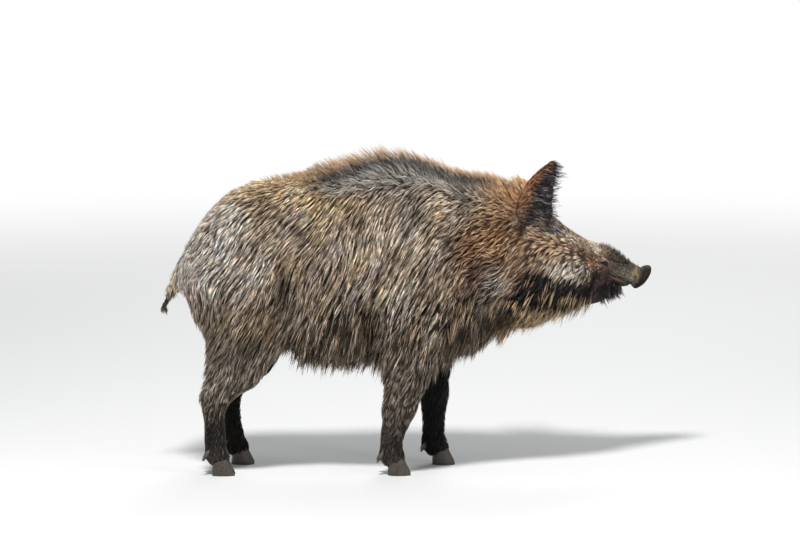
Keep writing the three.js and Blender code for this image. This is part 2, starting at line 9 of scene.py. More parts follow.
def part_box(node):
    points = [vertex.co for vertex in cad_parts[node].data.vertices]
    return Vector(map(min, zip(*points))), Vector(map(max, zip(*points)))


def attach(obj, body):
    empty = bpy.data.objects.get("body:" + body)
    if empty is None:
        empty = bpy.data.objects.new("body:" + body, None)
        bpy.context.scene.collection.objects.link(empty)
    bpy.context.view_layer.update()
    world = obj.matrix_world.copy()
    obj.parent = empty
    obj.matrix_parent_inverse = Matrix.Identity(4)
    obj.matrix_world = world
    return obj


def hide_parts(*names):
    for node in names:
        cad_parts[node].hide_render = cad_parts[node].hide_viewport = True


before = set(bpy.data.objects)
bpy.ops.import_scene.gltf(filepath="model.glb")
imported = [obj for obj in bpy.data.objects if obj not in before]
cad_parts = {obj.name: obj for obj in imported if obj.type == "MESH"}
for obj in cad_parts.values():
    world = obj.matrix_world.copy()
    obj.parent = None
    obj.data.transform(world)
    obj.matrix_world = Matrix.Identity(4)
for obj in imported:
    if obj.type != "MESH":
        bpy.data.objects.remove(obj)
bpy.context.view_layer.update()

scene = bpy.context.scene
scene.view_settings.view_transform = "Standard"
bpy.ops.object.select_all(action="DESELECT")

# ---------- studio ----------
# A long lens ten metres off looks a little down on the animal's right side. A pale sweep of
# floor runs out to a white surround, and broad soft lamps stand above and to either side.
LENS, SENSOR = 180.0, 36.0
AIM = Vector((-0.022, -0.029, 0.513))
CAMERA_DISTANCE, CAMERA_RISE = 10.0, math.radians(7)


def stand_at(name, data, spot, look):
    """A camera or lamp that stands at a spot and looks one way."""
    made = bpy.data.objects.new(name, data)
    scene.collection.objects.link(made)
    made.location = spot
    made.rotation_mode = "QUATERNION"
    made.rotation_quaternion = look.to_track_quat("-Z", "Y")
    return made


camera_data = bpy.data.cameras.new("studio_camera")
camera_data.lens, camera_data.sensor_width = LENS, SENSOR
camera_data.clip_start, camera_data.clip_end = 0.5, 200
backwards = Vector((0, -math.cos(CAMERA_RISE), math.sin(CAMERA_RISE)))
scene.camera = stand_at("studio_camera", camera_data, AIM + backwards * CAMERA_DISTANCE, -backwards)


def fresh_nodes(owner, out_kind):
    """Clears the nodes of a material or world, and gives short ways to add and join new ones."""
    owner.use_nodes = True
    tree = owner.node_tree
    tree.nodes.clear()

    def node(kind, **settings):
        """A new node; each setting is one of its own choices or the value of an input."""
        made = tree.nodes.new("ShaderNode" + kind)
        for key, value in settings.items():
            if hasattr(made, key):
                setattr(made, key, value)
            else:
                made.inputs[key.replace("_", " ")].default_value = value
        return made

    def join(*links):
        """Each link names a node and its output, then a node and its input."""
        for start, output, end, socket in links:
            tree.links.new(start.outputs[output], end.inputs[socket])

    return node, join, node(out_kind)


def fresh_material(name):
    material = bpy.data.materials.new(name)
    return material, *fresh_nodes(material, "OutputMaterial")


FLOOR_RADIUS = 60
bpy.ops.mesh.primitive_circle_add(vertices=96, radius=FLOOR_RADIUS, fill_type="TRIFAN")
floor = bpy.context.active_object
floor.name = "studio_floor"

FLOOR_COLOUR = (0.78, 0.78, 0.77, 1)
FADE_FROM, FADE_TO = 1.6, 7.0  # how far out the floor turns into the white surround
floor_paint, node, join, out = fresh_material("floor_paint")
place = node("TexCoord")
distance = node("VectorMath", operation="LENGTH")
fade = node("MapRange", From_Min=FADE_FROM, From_Max=FADE_TO, interpolation_type="SMOOTHSTEP")
seen = node("LightPath")
mirrored = node("Math", operation="MAXIMUM")
through = node("Math", operation="MAXIMUM")
both = node("Math", operation="MULTIPLY")
matt = node("BsdfPrincipled", Roughness=0.9, Specular_IOR_Level=0.1, Base_Color=FLOOR_COLOUR)
white = node("Emission", Strength=1.0)
mixed = node("MixShader")
join((place, "Object", distance, 0), (distance, "Value", fade, "Value"), (fade, "Result", both, 0),
     (seen, "Is Camera Ray", mirrored, 0), (seen, "Is Glossy Ray", mirrored, 1), (mirrored, 0, through, 0),
     (seen, "Is Transmission Ray", through, 1), (through, 0, both, 1), (both, 0, mixed, 0),
     (matt, 0, mixed, 1), (white, 0, mixed, 2), (mixed, 0, out, "Surface"))
floor.data.materials.append(floor_paint)

WORLD_COLOUR, WORLD_STRENGTH = (0.93, 0.96, 1.0, 1), 0.34
world = bpy.data.worlds.new("studio_surround")
scene.world = world
node, join, out = fresh_nodes(world, "OutputWorld")
soft = node("Background", Color=WORLD_COLOUR, Strength=WORLD_STRENGTH)
plain = node("Background")
seen = node("LightPath")
mixed = node("MixShader")
mirrored = node("Math", operation="MAXIMUM")
through = node("Math", operation="MAXIMUM")
join((seen, "Is Camera Ray", mirrored, 0), (seen, "Is Glossy Ray", mirrored, 1), (mirrored, 0, through, 0),
     (seen, "Is Transmission Ray", through, 1), (through, 0, mixed, 0), (soft, 0, mixed, 1),
     (plain, 0, mixed, 2), (mixed, 0, out, "Surface"))

LAMPS = [  # name, place, aimed at, size, power
    ("key_lamp", (-0.7, -2.9, 5.0), (0, 0, 0.5), 1.0, 310),
    ("fill_lamp", (3.6, -2.6, 1.6), (0.2, 0, 0.5), 1.2, 25),
    ("back_lamp", (0.8, 3.8, 3.4), (0, 0, 0.6), 2.2, 70),
]
for name, spot, target, size, power in LAMPS:
    lamp_data = bpy.data.lights.new(name, "AREA")
    lamp_data.shape, lamp_data.size, lamp_data.energy = "DISK", size, power
    stand_at(name, lamp_data, spot, Vector(target) - Vector(spot))

# ---------- skin ----------
# One hide covers the whole animal, from the nose disc to the tail. It is drawn over the body,
# and lies inside the outline of the coat by the depth of the hair at each place.
FLESH = ["trunk", "neck", "head", "lower_jaw", "snout_disc", "tail", "ear_right", "ear_left",
         "leg_front_right", "leg_front_left", "leg_hind_right", "leg_hind_left"]
SKIN_CELL = 0.0042  # size of the cells that the skin is drawn with
OVERLAP = 0.0011  # each bare shape is grown by this, so that they run into each other


def pick(*pieces):
    """Selects only these pieces, with the first of them active."""
    bpy.ops.object.select_all(action="DESELECT")
    for piece in pieces:
        piece.select_set(True)
    bpy.context.view_layer.objects.active = pieces[0]


def edit_all(piece, *steps):
    """Opens a piece for editing with all of it selected, and takes each step."""
    pick(piece)
    bpy.ops.object.mode_set(mode="EDIT")
    bpy.ops.mesh.select_all(action="SELECT")
    for step in steps:
        step()
    bpy.ops.object.mode_set(mode="OBJECT")


def apply(piece, kind, **settings):
    """Adds one modifier to the active piece and applies it."""
    added = piece.modifiers.new(kind.lower(), kind)
    for key, value in settings.items():
        setattr(added, key, value)
    bpy.ops.object.modifier_apply(modifier=added.name)


def new_piece(name, mesh):
    """An object of its own for a mesh."""
    made = bpy.data.objects.new(name, mesh)
    scene.collection.objects.link(made)
    return made


def copy_of(node_name, new_name):
    """A separate piece with a node's shape, its loose triangles joined up."""
    made = new_piece(new_name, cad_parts[node_name].data.copy())
    made.data.materials.clear()
    edit_all(made, lambda: bpy.ops.mesh.remove_doubles(threshold=1e-5))
    return made


def read_off(items, what, wide=3, kind=np.float32):
    """A row of numbers for every vertex, edge or face of a mesh."""
    flat = np.empty(len(items) * wide, kind)
    items.foreach_get(what, flat)
    return flat.reshape(-1, wide)


def places(mesh):
    return read_off(mesh.vertices, "co").astype(float)


def facings(mesh):
    return read_off(mesh.vertices, "normal").astype(float)


def put(mesh, points):
    mesh.vertices.foreach_set("co", np.ascontiguousarray(points, np.float32).ravel())
    mesh.update()


parts = []
for name in FLESH:
    part = copy_of(name, "flesh_" + name)
    put(part.data, places(part.data) + facings(part.data) * OVERLAP)
    parts.append(part)

# The bare shapes tell which part of the body each place on the skin belongs to.
all_points, all_faces, face_part, at = [], [], [], 0
for index, part in enumerate(parts):
    points = places(part.data)
    all_points += [Vector(p) for p in points]
    for face in part.data.polygons:
        all_faces.append([v + at for v in face.vertices])
        face_part.append(index)
    at += len(points)
body_tree = BVHTree.FromPolygons(all_points, all_faces)

pick(*parts)
bpy.ops.object.join()
skin = bpy.context.active_object
skin.name = skin.data.name = "skin"
apply(skin, "REMESH", mode="VOXEL", voxel_size=SKIN_CELL)


def neighbours(mesh):
    return read_off(mesh.edges, "vertices", 2, np.int32)


def averaged(values, edges):
    """The mean of the neighbours of every vertex, for one or several columns of values."""
    count = np.bincount(edges.ravel(), minlength=len(values)).astype(float)
    count[count == 0] = 1
    out = np.empty_like(values)
    for column in range(values.shape[1]):
        total = np.bincount(edges[:, 0], values[edges[:, 1], column], len(values))
        total += np.bincount(edges[:, 1], values[edges[:, 0], column], len(values))
        out[:, column] = total / count
    return out


def relaxed(points, edges, amount, rounds):
    """Moves every vertex towards the middle of its neighbours, by its own amount, in rounds."""
    for _ in range(rounds):
        points = points + (averaged(points, edges) - points) * amount[:, None]
    return points


def ramp(values, low, high):
    """0 below low, 1 above high and a smooth rise between; low may be above high."""
    t = np.clip((values - low) / (high - low), 0, 1)
    return t * t * (3 - 2 * t)


PART = {name: i for i, name in enumerate(FLESH)}
LEGS = [name for name in FLESH if name.startswith("leg_")]
EARS = ["ear_right", "ear_left"]


def shares_of(points, edges, rounds):
    """How far each vertex belongs to each part; the shares fade over the joins between parts."""
    found = np.zeros((len(points), len(FLESH)))
    for i, p in enumerate(points):
        found[i, face_part[body_tree.find_nearest(Vector(p))[2]]] = 1
    for _ in range(rounds):
        found += (averaged(found, edges) - found) * 0.6
    return found


def part_share(table, *names):
    return sum(table[:, PART[name]] for name in names)


def share(*names):
    """The share of the named parts at every vertex of the skin."""
    return part_share(shares, *names)


points, edges = places(skin.data), neighbours(skin.data)
shares = shares_of(points, edges, 6)

# The bumps of the plain shape are smoothed out, most on the broad parts.
soften = np.clip(0.62 * share("trunk", "neck", *LEGS, "tail") + 0.5 * share("head", "lower_jaw"), 0, 0.62)
foot_low = ramp(points[:, 2], 0.075, 0.045)  # the last hair above the hoof
points = relaxed(points, edges, soften * share("trunk", "neck"), 80)
points = relaxed(points, edges, soften * (1 - share(*EARS, "snout_disc")) * (1 - foot_low), 16)
points = relaxed(points, edges, np.full(len(points), 0.5), 3)

# Under the crest of bristles the back runs level: x along the body, and the height of the back.
BACK_X = [-0.62, -0.43, -0.25, -0.04, 0.035, 0.105, 0.167, 0.21, 0.26, 0.305, 0.36]
BACK_Z = [0.60, 0.712, 0.748, 0.763, 0.758, 0.746, 0.737, 0.731, 0.716, 0.694, 0.662]
CREST_COAT = 0.012
back = np.interp(points[:, 0], BACK_X, BACK_Z) - CREST_COAT
crest = ramp(points[:, 0], -0.27, -0.2) * share("trunk", "neck")
over = np.maximum(points[:, 2] - back, 0) * crest
points[:, 2] -= over
beside = ramp(points[:, 2], back - 0.05, back - 0.02) * crest
points = relaxed(points, edges, 0.7 * np.maximum(ramp(over, 0.0, 0.012), beside), 30)
points = relaxed(points, edges, 0.6 * share("trunk", "neck"), 10)
points = relaxed(points, edges, 0.5 * share(*EARS), 5)
put(skin.data, points)

# The head's own axes: it is turned to the animal's left and hangs a little.
HEAD_YAW, HEAD_PITCH = math.radians(30), math.radians(21.6)
NAPE = np.array([0.310, 0.001, 0.592])
AHEAD = np.array([math.cos(HEAD_PITCH) * math.cos(HEAD_YAW), math.cos(HEAD_PITCH) * math.sin(HEAD_YAW),
                  -math.sin(HEAD_PITCH)])
LEFT = np.array([-math.sin(HEAD_YAW), math.cos(HEAD_YAW), 0.0])
ABOVE = np.cross(AHEAD, LEFT)
HEAD_AXES = np.array([AHEAD, LEFT, ABOVE])


def to_head(points):
    """Millimetres ahead of the nape, to the left and above, along the head's own axes."""
    return (points - NAPE) @ HEAD_AXES.T * 1000


def from_head(where):
    return NAPE + np.asarray(where, float) / 1000 @ HEAD_AXES


# Depth of the hair in metres: deep under the belly, chest and throat, and thin on face and feet.
facing = facings(skin.data)
head = to_head(points)
ruff = ramp(head[:, 0], 150, 60)
under = ramp(-facing[:, 2], 0.1, 0.8)
leg_height = ramp(points[:, 2], 0.16, 0.4)
depth = (
    share("trunk") * (0.014 + 0.031 * under)
    + share("neck") * (0.017 + 0.026 * under)
    + share("head") * (0.0055 + 0.007 * ruff + 0.014 * under * ramp(head[:, 0], 235, 180))
    + share("lower_jaw") * (0.006 + 0.006 * under)
    + share("snout_disc") * 0.001 + share("tail") * 0.009 + share(*EARS) * 0.0012
    + share(*LEGS) * (0.005 + 0.011 * leg_height) * (1 - 0.8 * foot_low)
)
depth = averaged(averaged(depth[:, None], edges), edges)[:, 0]
INWARD_STEPS = 5
for _ in range(INWARD_STEPS):
    points = points - facings(skin.data) * (depth / INWARD_STEPS)[:, None]
    points = relaxed(points, edges, 0.5 * np.clip(share("trunk", "neck", *LEGS), 0, 1) * (1 - foot_low), 3)
    put(skin.data, points)
points[:, 2] -= 0.004 * foot_low * ramp(points[:, 2], 0.055, 0.04)
put(skin.data, points)

# Large even areas under long hair need few faces; the head keeps all of its own.
loose = skin.vertex_groups.new(name="under_long_hair")
long_haired = np.clip(share("trunk", "neck", *LEGS, "tail"), 0, 1)
for level in range(1, 11):
    chosen = np.nonzero(np.round(long_haired * 10) == level)[0].tolist()
    if chosen:
        loose.add(chosen, level / 10, "REPLACE")
KEPT_FACES = 0.38  # of all the faces of the skin
pick(skin)
apply(skin, "DECIMATE", ratio=KEPT_FACES, vertex_group="under_long_hair", vertex_group_factor=20)
skin.vertex_groups.clear()

# ---------- face ----------
# The skull shows through thin hide: brows over deep-set eyes, a cheek pad, a long muzzle with
# folds behind the nose, and a lipped mouth. These are pressed into the same skin.
def refine(near):
    """Splits the faces of the skin for which near(centres in head millimetres) is true."""
    chosen = near(to_head(read_off(skin.data.polygons, "center").astype(float)))
    bpy.ops.object.mode_set(mode="EDIT")
    bpy.ops.mesh.select_mode(type="FACE")
    bpy.ops.mesh.select_all(action="DESELECT")
    bpy.ops.object.mode_set(mode="OBJECT")
    skin.data.polygons.foreach_set("select", chosen)
    bpy.ops.object.mode_set(mode="EDIT")
    bpy.ops.mesh.subdivide(number_cuts=1, smoothness=0.3)
    bpy.ops.object.mode_set(mode="OBJECT")


# The eyes, in the head's millimetres: the ball's radius and middle, and the way it looks.
EYE_SIZE = 13.0
SIDES = {"right": -1, "left": 1}
EYES = {side: np.array([195.0, 50.5 * way, -12.0]) for side, way in SIDES.items()}
EYE_LOOKS = {side: np.array([0.36, 0.92 * way, 0.15]) for side, way in SIDES.items()}


def eye_axes(side):
    """The ways forward along the eye's slit, up across it, and out of the socket."""
    outward = EYE_LOOKS[side] / np.linalg.norm(EYE_LOOKS[side])
    forward = np.array([1.0, 0, 0]) - outward * outward[0]
    forward /= np.linalg.norm(forward)
    upward = np.cross(forward, outward)
    return forward, upward * np.sign(upward[2]), outward


# The face takes finer faces than the body, and its nose and lids finer ones again.
FACE_FROM, FACE_TO, FACE_HALF, NOSE_FROM, LIDS_REACH = 120, 400, 95, 318, 27


def on_face(centres):
    return (centres[:, 0] > FACE_FROM) & (centres[:, 0] < FACE_TO) & (np.abs(centres[:, 1]) < FACE_HALF)


def on_lids_or_nose(centres):
    from_eye = np.minimum(*[np.linalg.norm(centres - eye, axis=1) for eye in EYES.values()])
    return (from_eye < LIDS_REACH) | (centres[:, 0] > NOSE_FROM)


refine(on_face)
refine(on_lids_or_nose)
points, edges = places(skin.data), neighbours(skin.data)
head = to_head(points)
points = relaxed(points, edges, 0.5 * ramp(head[:, 0], 110, 130) * (head[:, 0] < 345), 2)
put(skin.data, points)


def outward_now():
    """The way out of the skin at each vertex, along the head's axes."""
    return facings(skin.data) @ HEAD_AXES.T


FACE_FORMS = [  # ahead, to the side, above; reach in each direction; height, all in millimetres
    ("brow", (186, 46, 13), (26, 20, 9), 5.0),
    ("brow end", (214, 38, 4), (14, 14, 9), 2.5),
    ("hollow before the eye", (226, 42, -10), (12, 14, 10), -4.0),
    ("hollow behind the eye", (160, 62, -10), (13, 14, 12), -3.0),
    ("cheek bone", (178, 64, -38), (34, 22, 13), 5.5),
    ("fold under the eye", (196, 56, -29), (22, 14, 3.2), -2.2),
    ("cheek pad", (120, 88, -60), (45, 26, 50), 5.0),
    ("jaw hollow", (205, 50, -66), (30, 22, 14), -4.0),
    ("muzzle ridge", (268, 20, 30), (50, 12, 10), 2.0),
    ("muzzle side", (270, 40, -4), (40, 16, 10), -2.4),
    ("upper lip", (300, 36, -20), (42, 14, 7), 2.6),
    ("lip under the nose", (335, 24, -30), (14, 16, 7), 2.0),
]
for _, where, reach, height in FACE_FORMS:
    outward = outward_now()
    for side in (-1, 1):
        away = (head - np.array([where[0], where[1] * side, where[2]])) / np.asarray(reach, float)
        head += outward * (height * np.exp(-(away ** 2).sum(1)))[:, None]
    put(skin.data, from_head(head))

# Folds run across the top of the muzzle behind the nose disc.
FOLDS = ((338, 1.7), (327, 1.2), (316, 0.9), (303, 0.6), (150, 0.8), (134, 0.8))  # ahead, depth
FOLD_WIDTH, FOLD_BOW = 2.6, 0.0016
for ahead, sink in FOLDS:
    wave = np.exp(-((head[:, 0] + FOLD_BOW * head[:, 1] ** 2 - ahead) / FOLD_WIDTH) ** 2)
    top = ramp(head[:, 2], -22, 2)
    head -= outward_now() * (sink * wave * top)[:, None]
put(skin.data, from_head(head))

# The mouth is a fine dark slit that ends below the eye, over a rolled lower lip.
MOUTH_CORNER, MOUTH_UNDER = 224, -29.0
SLIT_DEPTH, SLIT_WIDTH, LIP_HEIGHT, LIP_WIDTH, LIP_BELOW = 3.4, 1.9, 1.8, 3.4, 6
along_mouth = ramp(head[:, 0], MOUTH_CORNER - 5, MOUTH_CORNER + 12) * ramp(head[:, 0], 350, 344)
lip_line = MOUTH_UNDER + 2.0 * np.sin((head[:, 0] - MOUTH_CORNER) / 28) + 6 * ramp(head[:, 0], 245, 215)
outward = outward_now()
across = head[:, 2] - lip_line
head -= outward * (SLIT_DEPTH * along_mouth * np.exp(-(across / SLIT_WIDTH) ** 2))[:, None]
head += outward * (LIP_HEIGHT * along_mouth * np.exp(-((across + LIP_BELOW) / LIP_WIDTH) ** 2))[:, None]
put(skin.data, from_head(head))

# Eyelids: a peaked upper lid and a nearly straight lower one, drawn over the ball of the eye.
LID_THICKNESS = 2.9
LID_UP, LID_DOWN, PEAK_BACK = 9.6, 6.4, 4.0  # height of each lid, and how far back the peak is
UPPER_BACK, UPPER_FRONT, LOWER_HALF = 13.5, 22.0, 18.0  # length of the lids from their peaks


def lid_lines(forward):
    """Height of the upper and the lower lid's edge at a place along the eye, in millimetres."""
    ahead_of_peak = forward + PEAK_BACK
    upper = np.where(ahead_of_peak < 0, LID_UP * (1 - np.clip(-ahead_of_peak / UPPER_BACK, 0, 1) ** 1.7),
                     LID_UP * (1 - np.clip(ahead_of_peak / UPPER_FRONT, 0, 1) ** 1.25))
    lower = -LID_DOWN * (1 - np.clip(np.abs(forward) / LOWER_HALF, 0, 1) ** 2.4)
    return upper - 1.2, lower + 0.4


LID_BACK, LID_FRONT = -17.0, 17.5
LID_EDGE = np.linspace(LID_BACK, LID_FRONT, 48)
eye_opening = {}
for side, centre in EYES.items():
    forward, upward, outward = eye_axes(side)
    local = head - centre
    ours = np.nonzero((np.linalg.norm(local, axis=1) < 40) & (local @ outward > -20))[0]
    local = local[ours]
    ahead, high, out_by = local @ forward, local @ upward, local @ outward
    upper, lower = lid_lines(ahead)
    edge_upper, edge_lower = lid_lines(LID_EDGE)
    edge = np.vstack([np.column_stack([LID_EDGE, edge_upper]), np.column_stack([LID_EDGE, edge_lower])])
    beyond = np.sqrt(((np.column_stack([ahead, high])[:, None] - edge[None]) ** 2).sum(2)).min(1)
    inside = (high < upper) & (high > lower) & (np.abs(ahead) < LID_FRONT)
    beyond = np.where(inside, -beyond, beyond)  # below zero inside the opening
    round_off = np.sqrt(np.maximum((EYE_SIZE + LID_THICKNESS) ** 2 - ahead ** 2 - high ** 2, 0))
    lid = np.where(round_off > 0, round_off - 1.0 * np.exp(-(np.maximum(beyond, 0) / 2.5) ** 2), 0)
    hold = ramp(beyond, 13, 3)
    raised = np.maximum(out_by, lid * hold + out_by * (1 - hold))
    near_lids = ramp(beyond, 17, 9)
    rim = 0.9 * np.exp(-((beyond - 1.8) / 1.4) ** 2)
    crease = -1.8 * np.exp(-((beyond - 6.2) / 1.8) ** 2) - 1.1 * np.exp(-((beyond - 11.0) / 2.0) ** 2)
    target = raised + (rim + crease) * near_lids
    target = np.where(beyond < 0, np.minimum(target, 4.0 - 10.0 * ramp(-beyond, 0, 1.6)), target)
    head[ours] += (target - out_by)[:, None] * outward
    eye_opening[side] = np.full(len(head), 99.0)
    eye_opening[side][ours] = beyond
by_eye = np.minimum(eye_opening["right"], eye_opening["left"])
head = relaxed(head, edges, 0.5 * ramp(by_eye, 0.6, 2.0) * ramp(by_eye, 16, 12), 2)
put(skin.data, from_head(head))

# The nose disc: a firm rim round a flat face with two deep nostrils.
DISC_RADIUS = 33.0
disc_points = to_head(places(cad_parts["snout_disc"].data))
disc_middle = disc_points.mean(0)
_, _, spread = np.linalg.svd(disc_points - disc_middle, full_matrices=False)
disc_out = spread[2] * np.sign(spread[2][0])
disc_side = np.array([0.0, 1, 0]) - disc_out * disc_out[1]
disc_side /= np.linalg.norm(disc_side)
disc_high = np.cross(disc_out, disc_side)
head = relaxed(head, edges, 0.5 * ramp(head[:, 0], 330, 345), 7)
on_disc = head - disc_middle
disc_x, disc_z, disc_n = on_disc @ disc_side, on_disc @ disc_high, on_disc @ disc_out
disc_ring = np.sqrt((disc_x / DISC_RADIUS) ** 2 + (disc_z / DISC_RADIUS) ** 2)
front = ramp(disc_n, -2, 4)
raised_rim = 1.6 * np.exp(-((disc_ring - 0.93) / 0.12) ** 2)
head += disc_out * (front * (raised_rim - 1.5 * ramp(disc_ring, 0.75, 0.2)))[:, None]
head += disc_out * (front * 1.2 * np.exp(-((disc_x / 3.5) ** 2)) * ramp(disc_ring, 0.95, 0.7))[:, None]
outline = np.exp(-((disc_n - 1.5) / 5.0) ** 2) * ramp(disc_ring, 0.6, 0.9) * ramp(disc_ring, 1.5, 1.2)
outline_way = disc_x[:, None] * disc_side + disc_z[:, None] * disc_high
outline_way /= np.maximum(np.linalg.norm(outline_way, axis=1), 1)[:, None]
head += outline_way * (1.8 * outline)[:, None]
behind_rim = np.exp(-((disc_n + 9.5) / 4.2) ** 2) * ramp(disc_ring, 0.5, 0.8)
head -= outline_way * (behind_rim * (1.2 + 3.2 * ramp(disc_z, 0, 22)))[:, None]
head += disc_out * (0.13 * disc_z * ramp(disc_n, -11, 0))[:, None]
NOSTRIL_APART, NOSTRIL_HIGH, NOSTRIL_WIDE, NOSTRIL_TALL, NOSTRIL_DEEP = 13.0, 1.0, 5.6, 7.6, 11.0


def nostril(way):
    """0 in the middle of a nostril and 1 on its edge; way is -1 for the right one, 1 for the left."""
    nx = disc_x - way * NOSTRIL_APART
    nz = disc_z - NOSTRIL_HIGH + way * 0.25 * nx
    return np.sqrt((nx / NOSTRIL_WIDE) ** 2 + (nz / NOSTRIL_TALL) ** 2)


for way in (-1, 1):
    hole = nostril(way)
    head -= disc_out * (front * NOSTRIL_DEEP * ramp(hole, 1.05, 0.72))[:, None]
    head += disc_out * (front * 1.1 * np.exp(-((hole - 1.3) / 0.22) ** 2))[:, None]
put(skin.data, from_head(head))

# ---------- eyes ----------
# A small dark eye in each socket: a ball with a clear bulge over a brown iris and round pupil,
# and a wet dark rim along both lids that closes the gap between lid and ball.
IRIS_REACH = 0.60  # of the ball's radius


def shades(tints, *steps):
    """Sets the steps of a colour ramp: each is a place from 0 to 1 and its colour."""
    stops = tints.color_ramp.elements
    for stop, (at, colour) in zip(stops, (steps[0], steps[-1])):
        stop.position, stop.color = at, (*colour, 1)
    for at, colour in steps[1:-1]:
        stops.new(at).color = (*colour, 1)


def score(mesh, name, values):
    """Keeps a value for every vertex as an attribute that a material can read."""
    mesh.attributes.new(name, "FLOAT", "POINT").data.foreach_set("value", values.astype(np.float32))


def finish_as(piece, material):
    """Smooth shading and one material all over a piece."""
    piece.data.materials.clear()
    piece.data.materials.append(material)
    piece.data.polygons.foreach_set("use_smooth", [True] * len(piece.data.polygons))


eye_matter, node, join, out = fresh_material("eye_wet_brown")
spot = node("Attribute", attribute_name="from_pupil")
tints = node("ValToRGB")
shades(tints, (0.0, (0.002, 0.002, 0.002)), (0.20, (0.003, 0.002, 0.002)), (0.26, (0.016, 0.008, 0.004)),
       (0.50, (0.024, 0.012, 0.006)), (0.60, (0.010, 0.006, 0.005)), (0.72, (0.014, 0.009, 0.007)),
       (1.0, (0.02, 0.012, 0.010)))
fibres = node("TexNoise", Scale=900.0, Detail=3.0)
placing = node("TexCoord")
mottle = node("MixRGB", blend_type="MULTIPLY", Fac=0.5)
surface = node("BsdfPrincipled", Roughness=0.06, IOR=1.38, Specular_IOR_Level=0.28)
join((spot, "Fac", tints, 0), (placing, "Object", fibres, "Vector"), (tints, 0, mottle, 1),
     (fibres, "Fac", mottle, 2), (mottle, 0, surface, "Base Color"), (surface, 0, out, "Surface"))

rim_matter, node, join, out = fresh_material("lid_rim")
placing = node("TexCoord")
grain = node("TexNoise", Scale=420.0, Detail=4.0)
tints = node("ValToRGB")
shades(tints, (0.0, (0.010, 0.006, 0.006)), (1.0, (0.060, 0.034, 0.030)))
rise = node("Bump", Strength=0.4, Distance=0.0006)
surface = node("BsdfPrincipled", Roughness=0.3)
join((placing, "Object", grain, "Vector"), (grain, "Fac", tints, 0), (grain, "Fac", rise, "Height"),
     (tints, 0, surface, "Base Color"), (rise, 0, surface, "Normal"), (surface, 0, out, "Surface"))


PUPIL_BULGE = 1.3
RIM_SIDES, RIM_THICK, RIM_PROUD = 8, 1.5, 1.2
RIM_BACK, RIM_FRONT, RIM_STEPS = -17.3, 17.6, 40
for side, centre in EYES.items():
    forward, upward, outward = eye_axes(side)
    bpy.ops.object.select_all(action="DESELECT")
    bpy.ops.mesh.primitive_uv_sphere_add(segments=48, ring_count=32, radius=EYE_SIZE)
    ball = bpy.context.active_object
    ball.name = ball.data.name = "eyeball_" + side
    rest = places(ball.data)
    turn = rest[:, 2] / EYE_SIZE  # the sphere's pole is the pupil
    reach = np.arccos(np.clip(turn, -1, 1)) / (math.pi / 2)
    bulge = PUPIL_BULGE * ramp(reach, IRIS_REACH * 1.15, IRIS_REACH * 0.55) * ramp(reach, 0.75, 0.0)
    rest *= (1 + bulge / EYE_SIZE)[:, None]
    handed = np.cross(forward, upward) @ outward
    ball_axes = np.array([forward * np.sign(handed), upward, outward])
    put(ball.data, from_head(centre + rest @ ball_axes))
    score(ball.data, "from_pupil", reach)
    finish_as(ball, eye_matter)
    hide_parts("eye_" + side)
    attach(ball, "root")

    # The rim: a rounded cord of wet skin that runs along the upper lid and back along the lower.
    upper_walk = np.linspace(RIM_BACK, RIM_FRONT, RIM_STEPS)
    walk = np.concatenate([upper_walk, np.linspace(RIM_FRONT, RIM_BACK, RIM_STEPS)[1:-1]])
    above_lid, below_lid = lid_lines(walk)
    height = np.where(np.arange(len(walk)) < RIM_STEPS, above_lid + 0.3, below_lid - 0.3)
    proud = np.sqrt(np.maximum((EYE_SIZE + RIM_PROUD) ** 2 - walk ** 2 - height ** 2, 0))
    proud = np.maximum(proud, 3.2 + 1.0 * ramp(np.abs(walk), 18, 10))
    line = centre + walk[:, None] * forward + height[:, None] * upward + proud[:, None] * outward
    along = np.roll(line, -1, 0) - np.roll(line, 1, 0)
    along /= np.linalg.norm(along, axis=1)[:, None]
    side_way = np.cross(along, outward)
    side_way /= np.linalg.norm(side_way, axis=1)[:, None]
    top_way = np.cross(side_way, along)
    angles = np.arange(RIM_SIDES) / RIM_SIDES * 2 * math.pi
    tube = (line[:, None] + RIM_THICK * (np.cos(angles)[None, :, None] * side_way[:, None] * 0.8
            + np.sin(angles)[None, :, None] * top_way[:, None]))
    here = np.arange(len(line) * RIM_SIDES).reshape(len(line), RIM_SIDES)
    beyond = np.roll(here, -1, 0)
    faces = np.stack([here, np.roll(here, -1, 1), np.roll(beyond, -1, 1), beyond], 2).reshape(-1, 4)
    lid_mesh = bpy.data.meshes.new("eyelid_rim_" + side)
    lid_mesh.from_pydata(from_head(tube.reshape(-1, 3)).tolist(), [], faces.tolist())
    lids = new_piece("eyelid_rim_" + side, lid_mesh)
    finish_as(lids, rim_matter)
    edit_all(lids, lambda: bpy.ops.mesh.normals_make_consistent(inside=False))
    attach(lids, "root")

